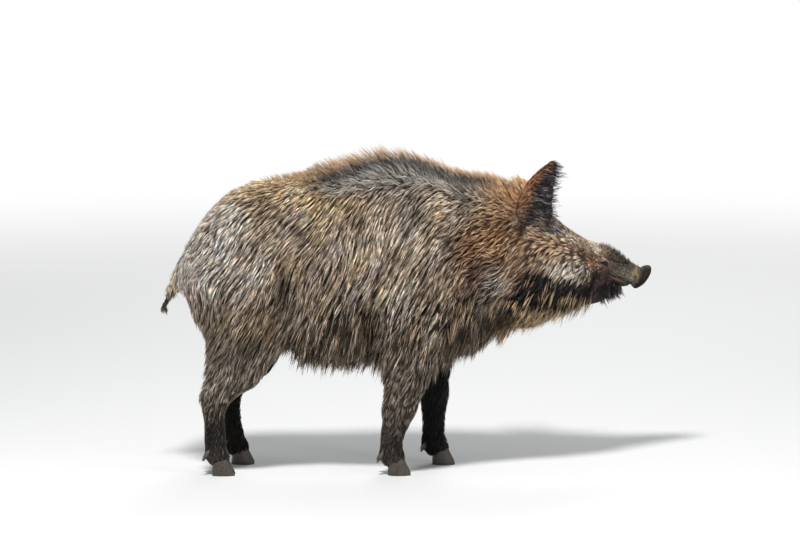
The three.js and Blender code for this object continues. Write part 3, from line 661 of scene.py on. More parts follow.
# ---------- hooves ----------
# Each foot stands on two horn claws with flat soles, grooved round by their growth, and carries
# two small dewclaws behind. The horn grows out of the skin under the last hair.
horn, node, join, out = fresh_material("hoof_horn")
placing = node("TexCoord")
layers = node("Mapping", Scale=(40, 40, 420))
rings = node("TexNoise", Scale=1.0, Detail=3.0)
grain = node("TexNoise", Scale=160.0, Detail=5.0)
tints = node("ValToRGB")
shades(tints, (0.3, (0.018, 0.014, 0.011)), (0.75, (0.085, 0.066, 0.048)))
rough = node("MapRange", From_Min=0.3, From_Max=0.7, To_Min=0.38, To_Max=0.62)
rise = node("Bump", Strength=0.5, Distance=0.0012)
surface = node("BsdfPrincipled")
join((placing, "Object", layers, "Vector"), (layers, 0, rings, "Vector"),
     (placing, "Object", grain, "Vector"), (grain, "Fac", tints, 0), (grain, "Fac", rough, "Value"),
     (rings, "Fac", rise, "Height"), (tints, 0, surface, "Base Color"), (rough, 0, surface, "Roughness"),
     (rise, 0, surface, "Normal"), (surface, 0, out, "Surface"))

HORN_TOP = 0.005  # how far each claw runs up into the skin
DEWCLAW_SUNK = 0.009  # how far the root of each dewclaw leans into the leg
WORN_EDGE = 0.0018  # how far the edges of the horn are rounded off
for name in sorted(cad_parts):
    if not name.startswith(("hoof_", "dewclaw_")):
        continue
    claw = copy_of(name, "horn_" + name)
    low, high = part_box(name)
    points = places(claw.data)
    middle = points[:, :2].mean(0)
    if name.startswith("hoof_"):
        top = points[:, 2] > low.z + 0.55 * (high.z - low.z)
        points[top, 2] += HORN_TOP
        points[top, :2] = middle + (points[top, :2] - middle) * 0.93
    else:
        around = places(skin.data)
        high_end = np.array([*middle, high.z])
        close_by = around[np.linalg.norm(around - high_end, axis=1) < 0.04]
        inward = (close_by.mean(0) - high_end) * (1, 1, 0)
        sunk = ((points[:, 2] - low.z) / (high.z - low.z)).clip(0, 1) ** 2
        points += inward / np.linalg.norm(inward) * (DEWCLAW_SUNK * sunk)[:, None]
        middle = points[:, :2].mean(0)
        points[:, :2] = middle + (points[:, :2] - middle) * (1 - 0.25 * sunk)[:, None]
    put(claw.data, points)
    apply(claw, "BEVEL", width=WORN_EDGE, segments=2, limit_method="ANGLE", angle_limit=math.radians(30))
    apply(claw, "SUBSURF", levels=2, render_levels=2)
    points = places(claw.data)
    by_floor = points[:, 2] < low.z + 0.0015
    points[:, 2] = np.where(by_floor, np.maximum(points[:, 2], low.z), points[:, 2])
    put(claw.data, points)
    finish_as(claw, horn)
    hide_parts(name)
    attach(claw, "root")

# ---------- hide under the hair ----------
# The skin itself: dark, fine-grained and damp, in the same markings as the coat over it, and
# bare only on the nose disc, the lips and round the eyes.
points, edges = places(skin.data), neighbours(skin.data)
normals = facings(skin.data)
shares = shares_of(points, edges, 8)
head = to_head(points)


def tone(red, green, blue):
    """A colour given as it looks on a screen, 0 to 255, turned into the strength of light."""
    c = np.array([red, green, blue]) / 255
    return np.where(c <= 0.04045, c / 12.92, ((c + 0.055) / 1.055) ** 2.4)


def waves(where, size, seed, count=7):
    """Smooth random values around 0, with features about size metres across."""
    draw = np.random.default_rng(seed)
    way = draw.normal(size=(count, 3))
    way *= (2 * math.pi / size * draw.uniform(0.6, 1.5, count) / np.linalg.norm(way, axis=1))[:, None]
    return np.sin(where @ way.T + draw.uniform(0, 2 * math.pi, count)).sum(1) / math.sqrt(count / 2)


def blend_in(colour, other, amount):
    """Passes from one colour to another, by an amount for each place."""
    return colour + (np.asarray(other) - colour) * amount[:, None]


EAR_TIPWARD = {"ear_right": np.array([0.14, -0.16, 0.97]), "ear_left": np.array([-0.6, 0.66, 0.42])}
EAR_OPENING = {"ear_right": np.array([0.42, -0.88, 0.14]), "ear_left": np.array([0.32, 0.6, 0.1])}
EAR_AXES, EAR_SPANS = {}, {}
for name in EARS:
    hollow_way, tip_way = (v[name] @ HEAD_AXES for v in (EAR_OPENING, EAR_TIPWARD))
    tip_way = tip_way / np.linalg.norm(tip_way)
    hollow_way = hollow_way - tip_way * (hollow_way @ tip_way)
    hollow_way = hollow_way / np.linalg.norm(hollow_way)
    front_way = np.cross(tip_way, hollow_way)
    front_way = front_way * np.sign(front_way[0])
    EAR_AXES[name] = (tip_way, hollow_way, front_way)
    ear = places(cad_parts[name].data)
    tipward = ear @ tip_way
    heights = np.linspace(tipward.min(), tipward.max(), 10)
    edges_at = [ear[np.abs(tipward - h) < np.ptp(heights) / 7] @ front_way for h in heights]
    EAR_SPANS[name] = heights, [e.min() for e in edges_at], [e.max() for e in edges_at]


def ear_place(where):
    """How near the ear's tip each place is (0 to 1), and where from its back edge to its front."""
    right = to_head(where)[:, 1] < 0
    tipness, across = np.zeros(len(where)), np.zeros(len(where))
    for name, mine in (("ear_right", right), ("ear_left", ~right)):
        tip_way, _, front_way = EAR_AXES[name]
        heights, backs, fronts = EAR_SPANS[name]
        high = where @ tip_way
        back, front_at = np.interp(high, heights, backs), np.interp(high, heights, fronts)
        tipness = np.where(mine, (high - heights[0]) / np.ptp(heights), tipness)
        across = np.where(mine, (where @ front_way - back) / np.maximum(front_at - back, 0.004), across)
    return tipness, across


def markings(where, table):
    """The colours of the hair at the root and at the tip, for places on the animal."""
    x, z = where[:, 0], where[:, 2]
    h = to_head(where)
    ahead, aside, above = h[:, 0], np.abs(h[:, 1]), h[:, 2]
    body = part_share(table, "trunk", "neck")
    on_head = part_share(table, "head", "lower_jaw", "snout_disc")
    root = np.tile(tone(48, 36, 26), (len(where), 1))
    tip = np.tile(tone(212, 188, 164), (len(where), 1))

    def dye(amount, at_root, at_tip, root_share=1.0, tip_share=1.0):
        """Turns the hair towards two tones, by an amount for each place."""
        nonlocal root, tip
        root = blend_in(root, tone(*at_root), amount * root_share)
        tip = blend_in(tip, tone(*at_tip), amount * tip_share)

    def spot(at_ahead, at_above, long, tall, slope=0.0):
        """1 in the middle of an oval place on the side of the head, and 0 well outside it."""
        rise = above - at_above - slope * (ahead - at_ahead)
        return on_head * np.exp(-((ahead - at_ahead) / long) ** 2 - (rise / tall) ** 2)

    # dried silt lies in olive patches, and between them the tips take a painted grey sheen of wet hair
    silt = ramp(waves(where, 0.16, 23), 0.1, 1.1)
    grey = ramp(waves(where, 0.13, 24), 0.2, 1.1)
    tip = blend_in(tip, tone(192, 164, 124), silt * 0.6)
    tip = blend_in(tip, tone(212, 198, 190), grey * 0.45)
    # paler, greyer rump and rear flank, partly a painted sheen of wet hair
    rump = body * ramp(x, -0.25, -0.50)
    dye(rump, (122, 104, 90), (255, 234, 216), tip_share=0.95)
    # warm tan along the top of the rump and back, partly a painted highlight of light from above
    lit_tan_top = body * ramp(z, 0.64, 0.73) * ramp(x, 0.0, -0.2)
    dye(lit_tan_top, (96, 72, 46), (250, 208, 158), tip_share=0.85)
    # the crest of bristles: dark below, grey towards the tips
    crest = body * ramp(z, 0.70, 0.735) * ramp(x, -0.27, -0.17) * ramp(x, 0.33, 0.26)
    dye(crest, (38, 33, 30), (176, 166, 156))
    # rust-coloured neck behind the ear
    side_neck = body * ramp(x, 0.06, 0.18) * ramp(z, 0.68, 0.60)
    dye(side_neck, (34, 19, 12), (140, 101, 76), 0.9, 0.85)
    rust = np.exp(-((x - 0.27) / 0.08) ** 2 - ((z - 0.668) / 0.11) ** 2) * (1 - 0.6 * on_head)
    dye(rust, (150, 90, 52), (255, 206, 152))
    # pale grey strands hang from the cheek over the throat
    sideburn = body * np.exp(-((x - 0.25) / 0.05) ** 2 - ((z - 0.485) / 0.045) ** 2)
    # painted shade: darker towards the belly, and blackish under the throat and between the legs
    low = ramp(z, 0.52, 0.33) * body
    dye(low, (9, 6, 4), (146, 124, 102), tip_share=0.9)
    throat = body * ramp(x, 0.08, 0.2) * ramp(z, 0.52, 0.44)
    dye(throat, (8, 6, 4), (104, 92, 82))
    dye(sideburn, (22, 18, 16), (194, 184, 174))
    # painted shade in the creases in front of the thigh and behind the elbow
    before_thigh = np.exp(-((x + 0.302) / 0.026) ** 2) * ramp(z, 0.61, 0.52)
    behind_elbow = np.exp(-((x + 0.075 + 0.3 * (z - 0.38)) / 0.024) ** 2) * ramp(z, 0.50, 0.43)
    hollow = body * np.clip(before_thigh + behind_elbow, 0, 1)
    dye(hollow, (10, 6, 4), (84, 68, 54), tip_share=0.85)
    # legs darken downwards, and the left pair is painted near-black as shade
    leg = part_share(table, *LEGS)
    down = leg * ramp(z, 0.46, 0.26)
    dye(down, (24, 18, 14), (166, 150, 134))
    dye(leg * ramp(z, 0.2, 0.1), (24, 20, 17), (98, 90, 82))
    shank = leg * ramp(x, -0.30, -0.38) * ramp(z, 0.18, 0.24) * ramp(z, 0.38, 0.32)
    dye(shank, (44, 36, 30), (206, 188, 170))
    far_legs_shade = leg * ramp(where[:, 1], 0.0, 0.03) * ramp(z, 0.37, 0.25)
    dye(far_legs_shade, (7, 6, 5), (24, 21, 18))
    # head: tan forehead, paler on top as a painted highlight, streaked pale cheek, black jowl, grizzled
    # muzzle
    dye(on_head, (54, 37, 26), (194, 160, 132))
    lit_forehead = on_head * ramp(above, -8, 20) * ramp(ahead, 225, 175)
    dye(lit_forehead, (134, 104, 78), (255, 234, 206))
    # a painted lilac-grey highlight between the ear and the forehead
    lilac_highlight = spot(30, 26, 24, 9)
    dye(lilac_highlight, (70, 62, 66), (206, 196, 206))
    ear_foot = spot(-24, 24, 34, 16)
    dye(ear_foot, (8, 7, 7), (66, 62, 62))
    cheek = np.clip(spot(112, -46, 44, 26) + 0.8 * spot(40, -58, 46, 16), 0, 1)
    dye(cheek, (44, 37, 31), (246, 228, 208))
    under_head = np.clip(on_head + ramp(ahead, -60, -25) * body, 0, 1)
    # the jowl is near-black, partly as painted shade under the head
    jowl = under_head * ramp(above - 0.06 * ahead, -70, -84) * ramp(ahead, -50, -20)
    dye(jowl, (3, 3, 3), (42, 40, 41))
    under_jaw = jowl * ramp(above - 0.35 * ahead, -172, -190)
    dye(under_jaw, (34, 24, 17), (184, 154, 122))
    muzzle = on_head * ramp(ahead, 206, 230)
    dye(muzzle, (24, 21, 19), (164, 150, 134))
    lower = on_head * ramp(ahead, 150, 185) * ramp(above, -26, -38)
    dye(lower, (10, 8, 7), (88, 80, 80))
    bulge = spot(207, -46, 20, 15)
    dye(bulge, (44, 30, 27), (150, 118, 108))
    dark_by_eye = spot(170, -58, 11, 26)
    dye(dark_by_eye, (5, 4, 4), (36, 31, 30))
    behind_eye = spot(154, -18, 18, 9)
    dye(behind_eye, (112, 66, 42), (226, 164, 128))
    over_patch = spot(164, -3, 24, 3.2, slope=0.3)
    dye(over_patch * 0.9, (16, 11, 8), (60, 46, 36))
    brow = on_head * np.exp(-((ahead - 238) / 48) ** 2) * ramp(above, 0, 18)
    dye(brow * 0.95, (8, 7, 6), (98, 88, 76))
    mud = spot(311, -4, 15, 14) * ramp(waves(where, 0.02, 25), -1.4, 0.2)
    dye(mud, (124, 110, 80), (242, 224, 182))
    mouth_front = on_head * ramp(ahead, 290, 304) * ramp(above, -20, -28)
    dye(mouth_front, (8, 6, 5), (46, 40, 36))
    # ears: blackish hollow, rust on the back edge
    ears = part_share(table, *EARS)
    tipness, across = ear_place(where)
    dye(ears, (9, 8, 8), (76, 70, 70))
    back_edge = ears * ramp(across, 0.42, 0.24)
    dye(back_edge, (64, 34, 20), (206, 150, 112))
    ear_root = ears * ramp(across, 0.4, 0.2) * ramp(tipness, 0.28, 0.1)
    dye(ear_root, (112, 78, 66), (196, 158, 140))
    tail = part_share(table, "tail")
    dye(tail, (92, 76, 52), (226, 212, 178))
    tail_end = tail * ramp(z, 0.462, 0.446)
    dye(tail_end, (52, 44, 34), (150, 136, 112))
    patchy_and_shaded = 1 + 0.18 * waves(where, 0.11, 21) + 0.13 * waves(where, 0.035, 22)
    # painted shade: the body and the upper legs darken low on the sides
    patchy_and_shaded = patchy_and_shaded * (1 - 0.22 * np.clip(body + leg, 0, 1) * ramp(z, 0.56, 0.44) * ramp(z, 0.24, 0.32))
    return root * patchy_and_shaded[:, None], tip * patchy_and_shaded[:, None]


root_tone, tip_tone = markings(points, shares)
bare_disc = ramp(disc_n, -12, -8) * (head[:, 0] > 300) * ramp(disc_ring, 1.7, 1.4)
face_skin = ramp(head[:, 0], 150, 240) * share("head", "lower_jaw")
lids = ramp(by_eye, 11, 6)
red_lid = ramp(by_eye, 4.0, 2.0) * ramp(by_eye, -0.5, 0.8) * ramp(head[:, 2], -12, -4)
lip = along_mouth * np.exp(-((head[:, 2] - lip_line) / 2.2) ** 2)
lower_lip = along_mouth * np.exp(-((head[:, 2] - lip_line + 7) / 3.6) ** 2) * ramp(head[:, 0], 296, 262)
# painted shade: the nostrils are painted near-black inside
nostril_shade = front * np.maximum(*[ramp(nostril(way), 1.0, 0.7) for way in (-1, 1)])
under_tone = root_tone * 0.55 + tip_tone * 0.06
for colour, amount in ((root_tone * 0.75 + tip_tone * 0.09, face_skin), (tone(40, 32, 25), bare_disc),
                       (tone(104, 88, 88), lids * 0.85), (tone(178, 130, 116), red_lid * 0.8),
                       (tone(14, 8, 7), ramp(by_eye, 0.9, -0.4)), (tone(12, 8, 7), lip),
                       (tone(140, 98, 92), lower_lip * 0.6), (tone(8, 6, 5), nostril_shade)):
    under_tone = blend_in(under_tone, colour, amount)


def paint(mesh, name, colours):
    """Keeps a colour for every vertex as an attribute that a material can read."""
    rgba = np.ones((len(colours), 4), np.float32)
    rgba[:, :3] = np.clip(colours, 0, 1)
    mesh.color_attributes.new(name, "FLOAT_COLOR", "POINT").data.foreach_set("color", rgba.ravel())


paint(skin.data, "marking", under_tone)
score(skin.data, "bare", np.clip(bare_disc + ramp(by_eye, 10, 4), 0, 1))

hide, node, join, out = fresh_material("hide")
marked = node("Attribute", attribute_name="marking")
bare = node("Attribute", attribute_name="bare")
placing = node("TexCoord")
pores = node("TexVoronoi", Scale=520.0)
blotches = node("TexNoise", Scale=70.0, Detail=6.0, Roughness=0.65)
short_hair = node("TexNoise", Scale=600.0, Detail=4.0)
patch = node("MapRange", From_Min=0.3, From_Max=0.7, To_Min=0.62, To_Max=1.38)
tinted = node("VectorMath", operation="SCALE")
rough = node("MapRange", From_Min=0.3, From_Max=0.75, To_Min=0.72, To_Max=0.42)
height = node("Math", operation="ADD")
rise = node("Bump", Strength=0.55, Distance=0.0008)
damp = node("MapRange", To_Min=1.0, To_Max=0.62)
slick = node("Math", operation="MULTIPLY")
sheen = node("MapRange", To_Min=0.16, To_Max=0.03)
surface = node("BsdfPrincipled", Specular_IOR_Level=0.14)
join((bare, "Fac", damp, "Value"), (bare, "Fac", sheen, "Value"), (damp, "Result", slick, 1),
     (sheen, "Result", surface, "Specular IOR Level"))
join((placing, "Object", pores, "Vector"), (placing, "Object", blotches, "Vector"),
     (placing, "Object", short_hair, "Vector"))
join((blotches, "Fac", patch, "Value"), (marked, "Color", tinted, 0), (patch, "Result", tinted, "Scale"),
     (tinted, 0, surface, "Base Color"), (blotches, "Fac", rough, "Value"), (rough, "Result", slick, 0),
     (slick, 0, surface, "Roughness"), (pores, "Distance", height, 0), (short_hair, "Fac", height, 1),
     (height, 0, rise, "Height"), (rise, 0, surface, "Normal"), (surface, 0, out, "Surface"))
finish_as(skin, hide)
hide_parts(*FLESH)
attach(skin, "root")

# ---------- coat: how every lock is made ----------
# A lock is a few dozen wet hairs stuck together: thick near the root, bent along the body and
# drawn to a fine point, and closed all round. Neighbours lean together into pointed clumps.
skin.data.calc_loop_triangles()
corners = read_off(skin.data.loop_triangles, "vertices", 3, np.int32)
first, second, third = (points[corners[:, k]] for k in range(3))
areas = np.linalg.norm(np.cross(second - first, third - first), axis=1) / 2
skin_tree = BVHTree.FromPolygons([Vector(p) for p in points], corners.tolist())


def unit(vectors):
    return vectors / np.maximum(np.linalg.norm(vectors, axis=1), 1e-9)[:, None]


def flatten_to(vectors, facing):
    """The part of each vector that lies along the surface."""
    return unit(vectors - facing * (vectors * facing).sum(1)[:, None])


# The body's middle line, its top and half its width along x, and how steeply its hair falls.
MIDDLE_X = [-0.6, 0.10, 0.21, 0.26, 0.305, 0.34, 0.36]
MIDDLE_Y = [-0.029, -0.029, -0.017, -0.007, 0.003, 0.013, 0.019]
BODY_X = [-0.56, -0.50, -0.44, -0.38, -0.26, -0.02, 0.10, 0.16, 0.22, 0.28]
BODY_TOP = [0.563, 0.65, 0.70, 0.719, 0.732, 0.736, 0.722, 0.711, 0.703, 0.706]
BODY_HALF = [0.102, 0.135, 0.146, 0.147, 0.143, 0.156, 0.147, 0.124, 0.11, 0.10]
WAIST, GIRTH = 0.483, 0.2  # height of the middle of the body, and its mean radius
FLOW_X = [-0.62, -0.50, -0.36, -0.22, -0.05, 0.05, 0.15, 0.25, 0.36]
FLOW_FALL = [66, 60, 60, 66, 71, 62, 48, 38, 34]  # degrees below level, towards the tail
along_body = np.linspace(-0.70, 0.46, 117)
climbed = np.cumsum(0.8 * np.tan(np.radians(np.interp(along_body, FLOW_X, FLOW_FALL)))) * 0.01
round_body = np.linspace(0, 0.65, 131)
fallen = np.cumsum(1 + 3 * np.exp(-round_body / 0.06) - 0.66 * ramp(round_body, 0.31, 0.43)) * 0.005


def sweep(where):
    """Stays the same along each hair of the body, and grows from the rump up and over the back."""
    x, y, z = where.T
    side = np.abs(y - np.interp(x, MIDDLE_X, MIDDLE_Y)) / np.interp(x, BODY_X, BODY_HALF)
    round_it = GIRTH * np.arctan2(side, (z - WAIST) / (np.interp(x, BODY_X, BODY_TOP) - WAIST))
    swept = np.interp(round_it, round_body, fallen) + np.interp(x, along_body, climbed)
    for size, amount, seed in ((0.22, 0.010, 31), (0.08, 0.0035, 32), (0.032, 0.0010, 35)):
        swept = swept + amount * waves(where, size, seed)
    return swept


def sweep_slope(where):
    step = 0.0015
    return np.column_stack([sweep(where + e) - sweep(where - e) for e in np.eye(3) * step]) / (2 * step)


def change(flow, other, amount):
    """Passes from one lie of the hair to another, by an amount for each place."""
    return flow * (1 - amount[:, None]) + other * amount[:, None]


def lie(where, facing, table):
    """The way the hair lies at places on the skin, along the surface."""
    x, y, z = where.T
    h = to_head(where)
    middle = np.interp(x, MIDDLE_X, MIDDLE_Y)
    way = np.tanh((y - middle) / 0.03)
    fall = np.radians(np.interp(x, FLOW_X, FLOW_FALL))
    back = np.column_stack([-np.cos(fall), way * (0.12 + 0.45 * facing[:, 2].clip(0, 1)), -np.sin(fall)])
    flow = unit(np.cross(facing, sweep_slope(where)))
    flow = flow * np.sign((flow * back).sum(1) + 1e-9)[:, None]
    plain = np.clip(ramp(-facing[:, 0], 0.45, 0.85) + ramp(np.abs(y - middle), 0.012, 0.004), 0, 1)
    flow = change(flow, back, plain)
    below_rump = ramp(x, -0.30, -0.37) * ramp(z, 0.54, 0.47) * ramp(-facing[:, 0] - facing[:, 2], 0.0, 0.4)
    flow = change(flow, np.array([[0.3, 0, -1.0]]), below_rump)
    back_on_leg = -0.28 - 0.2 * ramp(z, 0.1, 0.3) + 0.12 * waves(where, 0.06, 33)
    leg_flow = np.column_stack([back_on_leg, np.zeros(len(x)), -np.ones(len(x))])
    flow = change(flow, leg_flow, part_share(table, *LEGS))
    ahead, above = h[:, 0], h[:, 2]
    droop = (0.15 + 1.9 * ramp(above, 0, -60) * ramp(ahead, 320, 200)
             - 0.3 * ramp(above, -20, 10) * ramp(ahead, 230, 250))
    lift_up = 0.25 * ramp(above, 20, 60)
    sway = 0.18 * waves(where, 0.05, 34)
    head_flow = (-AHEAD[None] + (lift_up - droop + sway)[:, None] * ABOVE[None]
                 + (0.35 * np.sign(h[:, 1]) * ramp(above, 0, 50))[:, None] * LEFT[None])
    flow = change(flow, head_flow, part_share(table, "head", "lower_jaw", "snout_disc"))
    tipness, across = ear_place(where)
    for name, (tip_way, hollow_way, front_way) in EAR_AXES.items():
        inside = (ramp(facing @ hollow_way, -0.1, 0.4) * ramp(across, 0.12, 0.35))[:, None]
        forward = np.clip(0.25 + 0.75 * inside + 0.8 * ramp(tipness, 0.72, 0.98)[:, None], 0, 1.2)
        ear_flow = tip_way * (1 - 0.75 * np.clip(forward - 0.25, 0, 1)) + front_way * forward
        flow = change(flow, ear_flow, part_share(table, name))
    flow = change(flow, np.array([[-0.3, 0, -1.0]]), part_share(table, "tail"))
    return flatten_to(flow, facing)


COMB = 0.0085  # the usual distance from one ridge of wet hair to the next
BROAD_COMB = 2.6  # how much further apart the broad grooves are
COMB_STEPS = (0.0085, 0.012, 0.017, 0.024, 0.034, 0.06)


def comb(where):
    """Ridges (above 0) and grooves (below 0) of the wet coat, which follow the lie of the hair."""
    swept, steep = sweep(where), np.linalg.norm(sweep_slope(where), axis=1)
    broad = 0.45 + 0.9 * ramp(where[:, 2], 0.56, 0.42)  # wider grooves low on the sides
    total = 0
    for number, apart in enumerate(COMB_STEPS):
        real = apart / steep
        fine_share = np.exp(-(np.log(real / COMB) / 0.45) ** 2)
        strength = fine_share + broad * np.exp(-(np.log(real / (BROAD_COMB * COMB)) / 0.4) ** 2)
        ridge = np.sin(2 * math.pi * swept / apart + 1.6 * waves(where, 0.07, 41 + number))
        total = total + strength * ridge * (1 + 0.5 * waves(where, 0.045, 51 + number))
    return total


CHARTS = {  # each part's place on the coat's flat map: left, bottom, width, height
    "trunk": (0.01, 0.01, 0.72, 0.46), "neck": (0.75, 0.01, 0.24, 0.46), "head": (0.01, 0.49, 0.44, 0.3),
    "lower_jaw": (0.47, 0.49, 0.14, 0.14), "snout_disc": (0.47, 0.65, 0.14, 0.14),
    "tail": (0.63, 0.65, 0.1, 0.14),
    "ear_right": (0.63, 0.49, 0.1, 0.14), "ear_left": (0.75, 0.49, 0.1, 0.14),
    "leg_front_right": (0.01, 0.81, 0.23, 0.18), "leg_front_left": (0.26, 0.81, 0.23, 0.18),
    "leg_hind_right": (0.51, 0.81, 0.23, 0.18), "leg_hind_left": (0.76, 0.81, 0.23, 0.18),
}


def unrolled(where, table):
    """Each place on the skin laid out flat: along its part, and round the part's own middle."""
    chart = np.zeros((len(where), 2))
    owner = table.argmax(1)
    for name, (left, bottom, width, height) in CHARTS.items():
        mine = owner == PART[name]
        if not mine.any():
            continue
        ours, low, high = where[mine], *(np.array(c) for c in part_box(name))
        if name in ("trunk", "neck", "tail"):
            along = (ours[:, 0] - low[0]) / (high[0] - low[0])
            across = ours[:, 1:] - ((low + high) / 2)[1:]
        elif name in LEGS:
            along = (ours[:, 2] - low[2]) / (high[2] - low[2])
            across = ours[:, :2] - ((low + high) / 2)[:2]
        else:
            h = to_head(ours)
            span = to_head(places(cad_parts[name].data))
            axis = 2 if name in EARS else 0
            rest = [k for k in range(3) if k != axis]
            along = (h[:, axis] - span[:, axis].min()) / np.ptp(span[:, axis])
            across = h[:, rest] - span[:, rest].mean(0)
        round_it = np.arctan2(across[:, 0], across[:, 1]) / (2 * math.pi) + 0.5
        chart[mine, 0] = left + width * np.clip(along, 0, 1)
        chart[mine, 1] = bottom + height * round_it
    return chart


PATCH = 0.003  # a lock's size on the flat map
LOCK_WIDTHS = {1: [1.0], 2: [0.85, 1.0], 3: [0.8, 1.0, 0.68]}  # from root to tip, by its joints
LOCK_FLATNESS = 0.62  # a lock's thickness, as a share of its width
ROOT_SUNK = 0.0015  # how far below the skin each lock starts
LEAN_EARLY = 0.7  # below 1, locks lean together from nearer their roots


def pick_roots(density, seed):
    """Places on the skin, drawn by area times density, a value for every vertex per square metre."""
    draw = np.random.default_rng(seed)
    weight = areas * density[corners].mean(1)
    count = int(weight.sum())
    edges_of = np.cumsum(weight) / weight.sum()
    drawn = (np.arange(count) + draw.uniform(0, 1, count)) / count
    face = np.searchsorted(edges_of, drawn).clip(0, len(areas) - 1)
    a, b = np.sqrt(draw.uniform(0, 1, count)), draw.uniform(0, 1, count)
    share_of = np.column_stack([1 - a, a * (1 - b), a * b])
    return face, share_of


def at_roots(values, face, share_of):
    """Values given for every vertex, or one value for all of them, read off at the roots."""
    if np.ndim(values) == 0:
        values = np.full(len(points), float(values))
    if values.ndim == 1:
        return (values[corners[face]] * share_of).sum(1)
    return (values[corners[face]] * share_of[:, :, None]).sum(1)


def nearest_leader(draw, root, clump):
    """The lock that each lock leans on: the nearest of those drawn to lead, one in every clump."""
    leaders = np.nonzero(draw.uniform(0, 1, len(root)) < 1 / clump)[0]
    tree = KDTree(len(leaders))
    for i, leader in enumerate(leaders):
        tree.insert(root[leader], i)
    tree.balance()
    return leaders[[tree.find(p)[1] for p in root]]


def lay_spines(root, facing, flow, hang, long, deep, loose, off, joints, ridge_height):
    """Walks each lock from its root along the skin, and clear of it as far as the lock is loose.
    Gives its joints, the way out of the skin at each, and the height of the ridges of the coat."""
    spine = np.empty((len(root), joints + 1, 3))
    out_way = np.empty_like(spine)
    spine[:, 0], out_way[:, 0] = root - facing * ROOT_SUNK, facing
    ridges = np.zeros(spine.shape[:2])
    spot, way = root.copy(), flow
    open_spot, open_way = root.copy(), unit(flow * (1 - off[:, None]) + facing * off[:, None])
    for step in range(1, joints + 1):
        t = step / joints
        found = [skin_tree.find_nearest(Vector(p)) for p in spot + way * (long / joints)[:, None]]
        spot = np.array([f[0] for f in found])
        n = np.array([f[1] for f in found])
        face_at = np.array([f[2] for f in found])
        n = unit(n + 0.4 * out_way[:, step - 1])
        lying = spot + n * (deep * t ** 0.8)[:, None]
        if ridge_height:
            sideways = np.cross(n, way) * 0.0012
            ridges[:, step] = comb(spot)
            lean = (comb(spot + sideways) - comb(spot - sideways)).clip(-2, 2)
            raised = ridge_height * ridges[:, step].clip(-1.6, 1.6)
            lying = lying + n * raised[:, None] + sideways * (lean * t)[:, None]
        way = flatten_to(0.75 * way + 0.25 * lie(spot, n, shares[corners[face_at, 0]]), n)
        open_way = unit(open_way * (1 - 0.45 * loose[:, None]) + hang * (0.45 * loose[:, None]))
        open_spot = open_spot + open_way * (long / joints)[:, None]
        spine[:, step] = lying + (open_spot - lying) * (loose * min(1, t * 1.5))[:, None]
        out_way[:, step] = n
    return spine, out_way, ridges


def lock_points(spine, out_way, wide, roll):
    """The vertices of each lock: three round every joint but the last, then its point."""
    tangent = np.empty_like(spine)
    tangent[:, 0] = spine[:, 1] - spine[:, 0]
    tangent[:, 1:-1] = spine[:, 2:] - spine[:, :-2]
    tangent[:, -1] = spine[:, -1] - spine[:, -2]
    tangent = unit(tangent.reshape(-1, 3)).reshape(spine.shape)
    broad = unit(np.cross(tangent, out_way).reshape(-1, 3)).reshape(spine.shape)
    thick = np.cross(broad, tangent)
    angle = roll[:, None] + (math.pi / 2 + np.arange(3) * 2 * math.pi / 3)[None]
    over, up = np.cos(angle)[:, None, :, None], np.sin(angle)[:, None, :, None]
    girth = wide[:, None] * np.array(LOCK_WIDTHS[spine.shape[1] - 1])[None] / 2
    ring_points = spine[:, :-1, None] + girth[:, :, None, None] * (
        over * broad[:, :-1, None] + LOCK_FLATNESS * up * thick[:, :-1, None])
    return np.concatenate([ring_points.reshape(len(spine), -1, 3), spine[:, -1:]], 1)


def lock_faces(joints):
    """The faces of one lock, and the place of each of their corners on its patch of the flat map."""
    heights = np.linspace(-0.5, 0.5, joints + 1)
    faces, patch = [], []
    for k in range(joints - 1):
        low, high = heights[k], heights[k + 1]
        for j in range(3):
            i = (j + 1) % 3
            faces.append([k * 3 + j, (k + 1) * 3 + j, (k + 1) * 3 + i, k * 3 + i])
            left, right = j / 3 - 0.5, (j + 1) / 3 - 0.5
            patch += [(left, low), (left, high), (right, high), (right, low)]
    last = (joints - 1) * 3
    for j in range(3):
        faces.append([last + j, joints * 3, last + (j + 1) % 3])
        patch += [(j / 3 - 0.5, heights[-2]), (j / 3 - 0.34, heights[-1]), ((j + 1) / 3 - 0.5, heights[-2])]
    faces.append([0, 1, 2])
    patch += [(-0.5, -0.5), (0.5, -0.5), (0, -0.62)]
    return faces, np.array(patch)


def lock_mesh(name, locks, joints, on_map):
    """One mesh of all the locks, each closed all round, with its patch at its root's place."""
    count, each = locks.shape[:2]
    faces, patch = lock_faces(joints)
    sides = [len(face) for face in faces]
    corner = (np.arange(count) * each)[:, None] + np.concatenate(faces).astype(int)[None]
    starts = np.concatenate([[0], np.cumsum(np.tile(sides, count))[:-1]])
    mesh = bpy.data.meshes.new(name)
    mesh.vertices.add(count * each)
    mesh.vertices.foreach_set("co", locks.astype(np.float32).ravel())
    mesh.loops.add(corner.size)
    mesh.loops.foreach_set("vertex_index", corner.astype(np.int32).ravel())
    mesh.polygons.add(len(starts))
    mesh.polygons.foreach_set("loop_start", starts.astype(np.int32))
    mesh.update(calc_edges=True)
    flat_map = mesh.uv_layers.new(name="OFBake")
    flat_map.data.foreach_set("uv", (on_map[:, None] + patch[None] * PATCH).astype(np.float32).ravel())
    return mesh


def per_point(values):
    """Values at the joints of every lock, one for each of its vertices."""
    return np.concatenate([np.repeat(values[:, :-1], 3, axis=1), values[:, -1:]], 1)


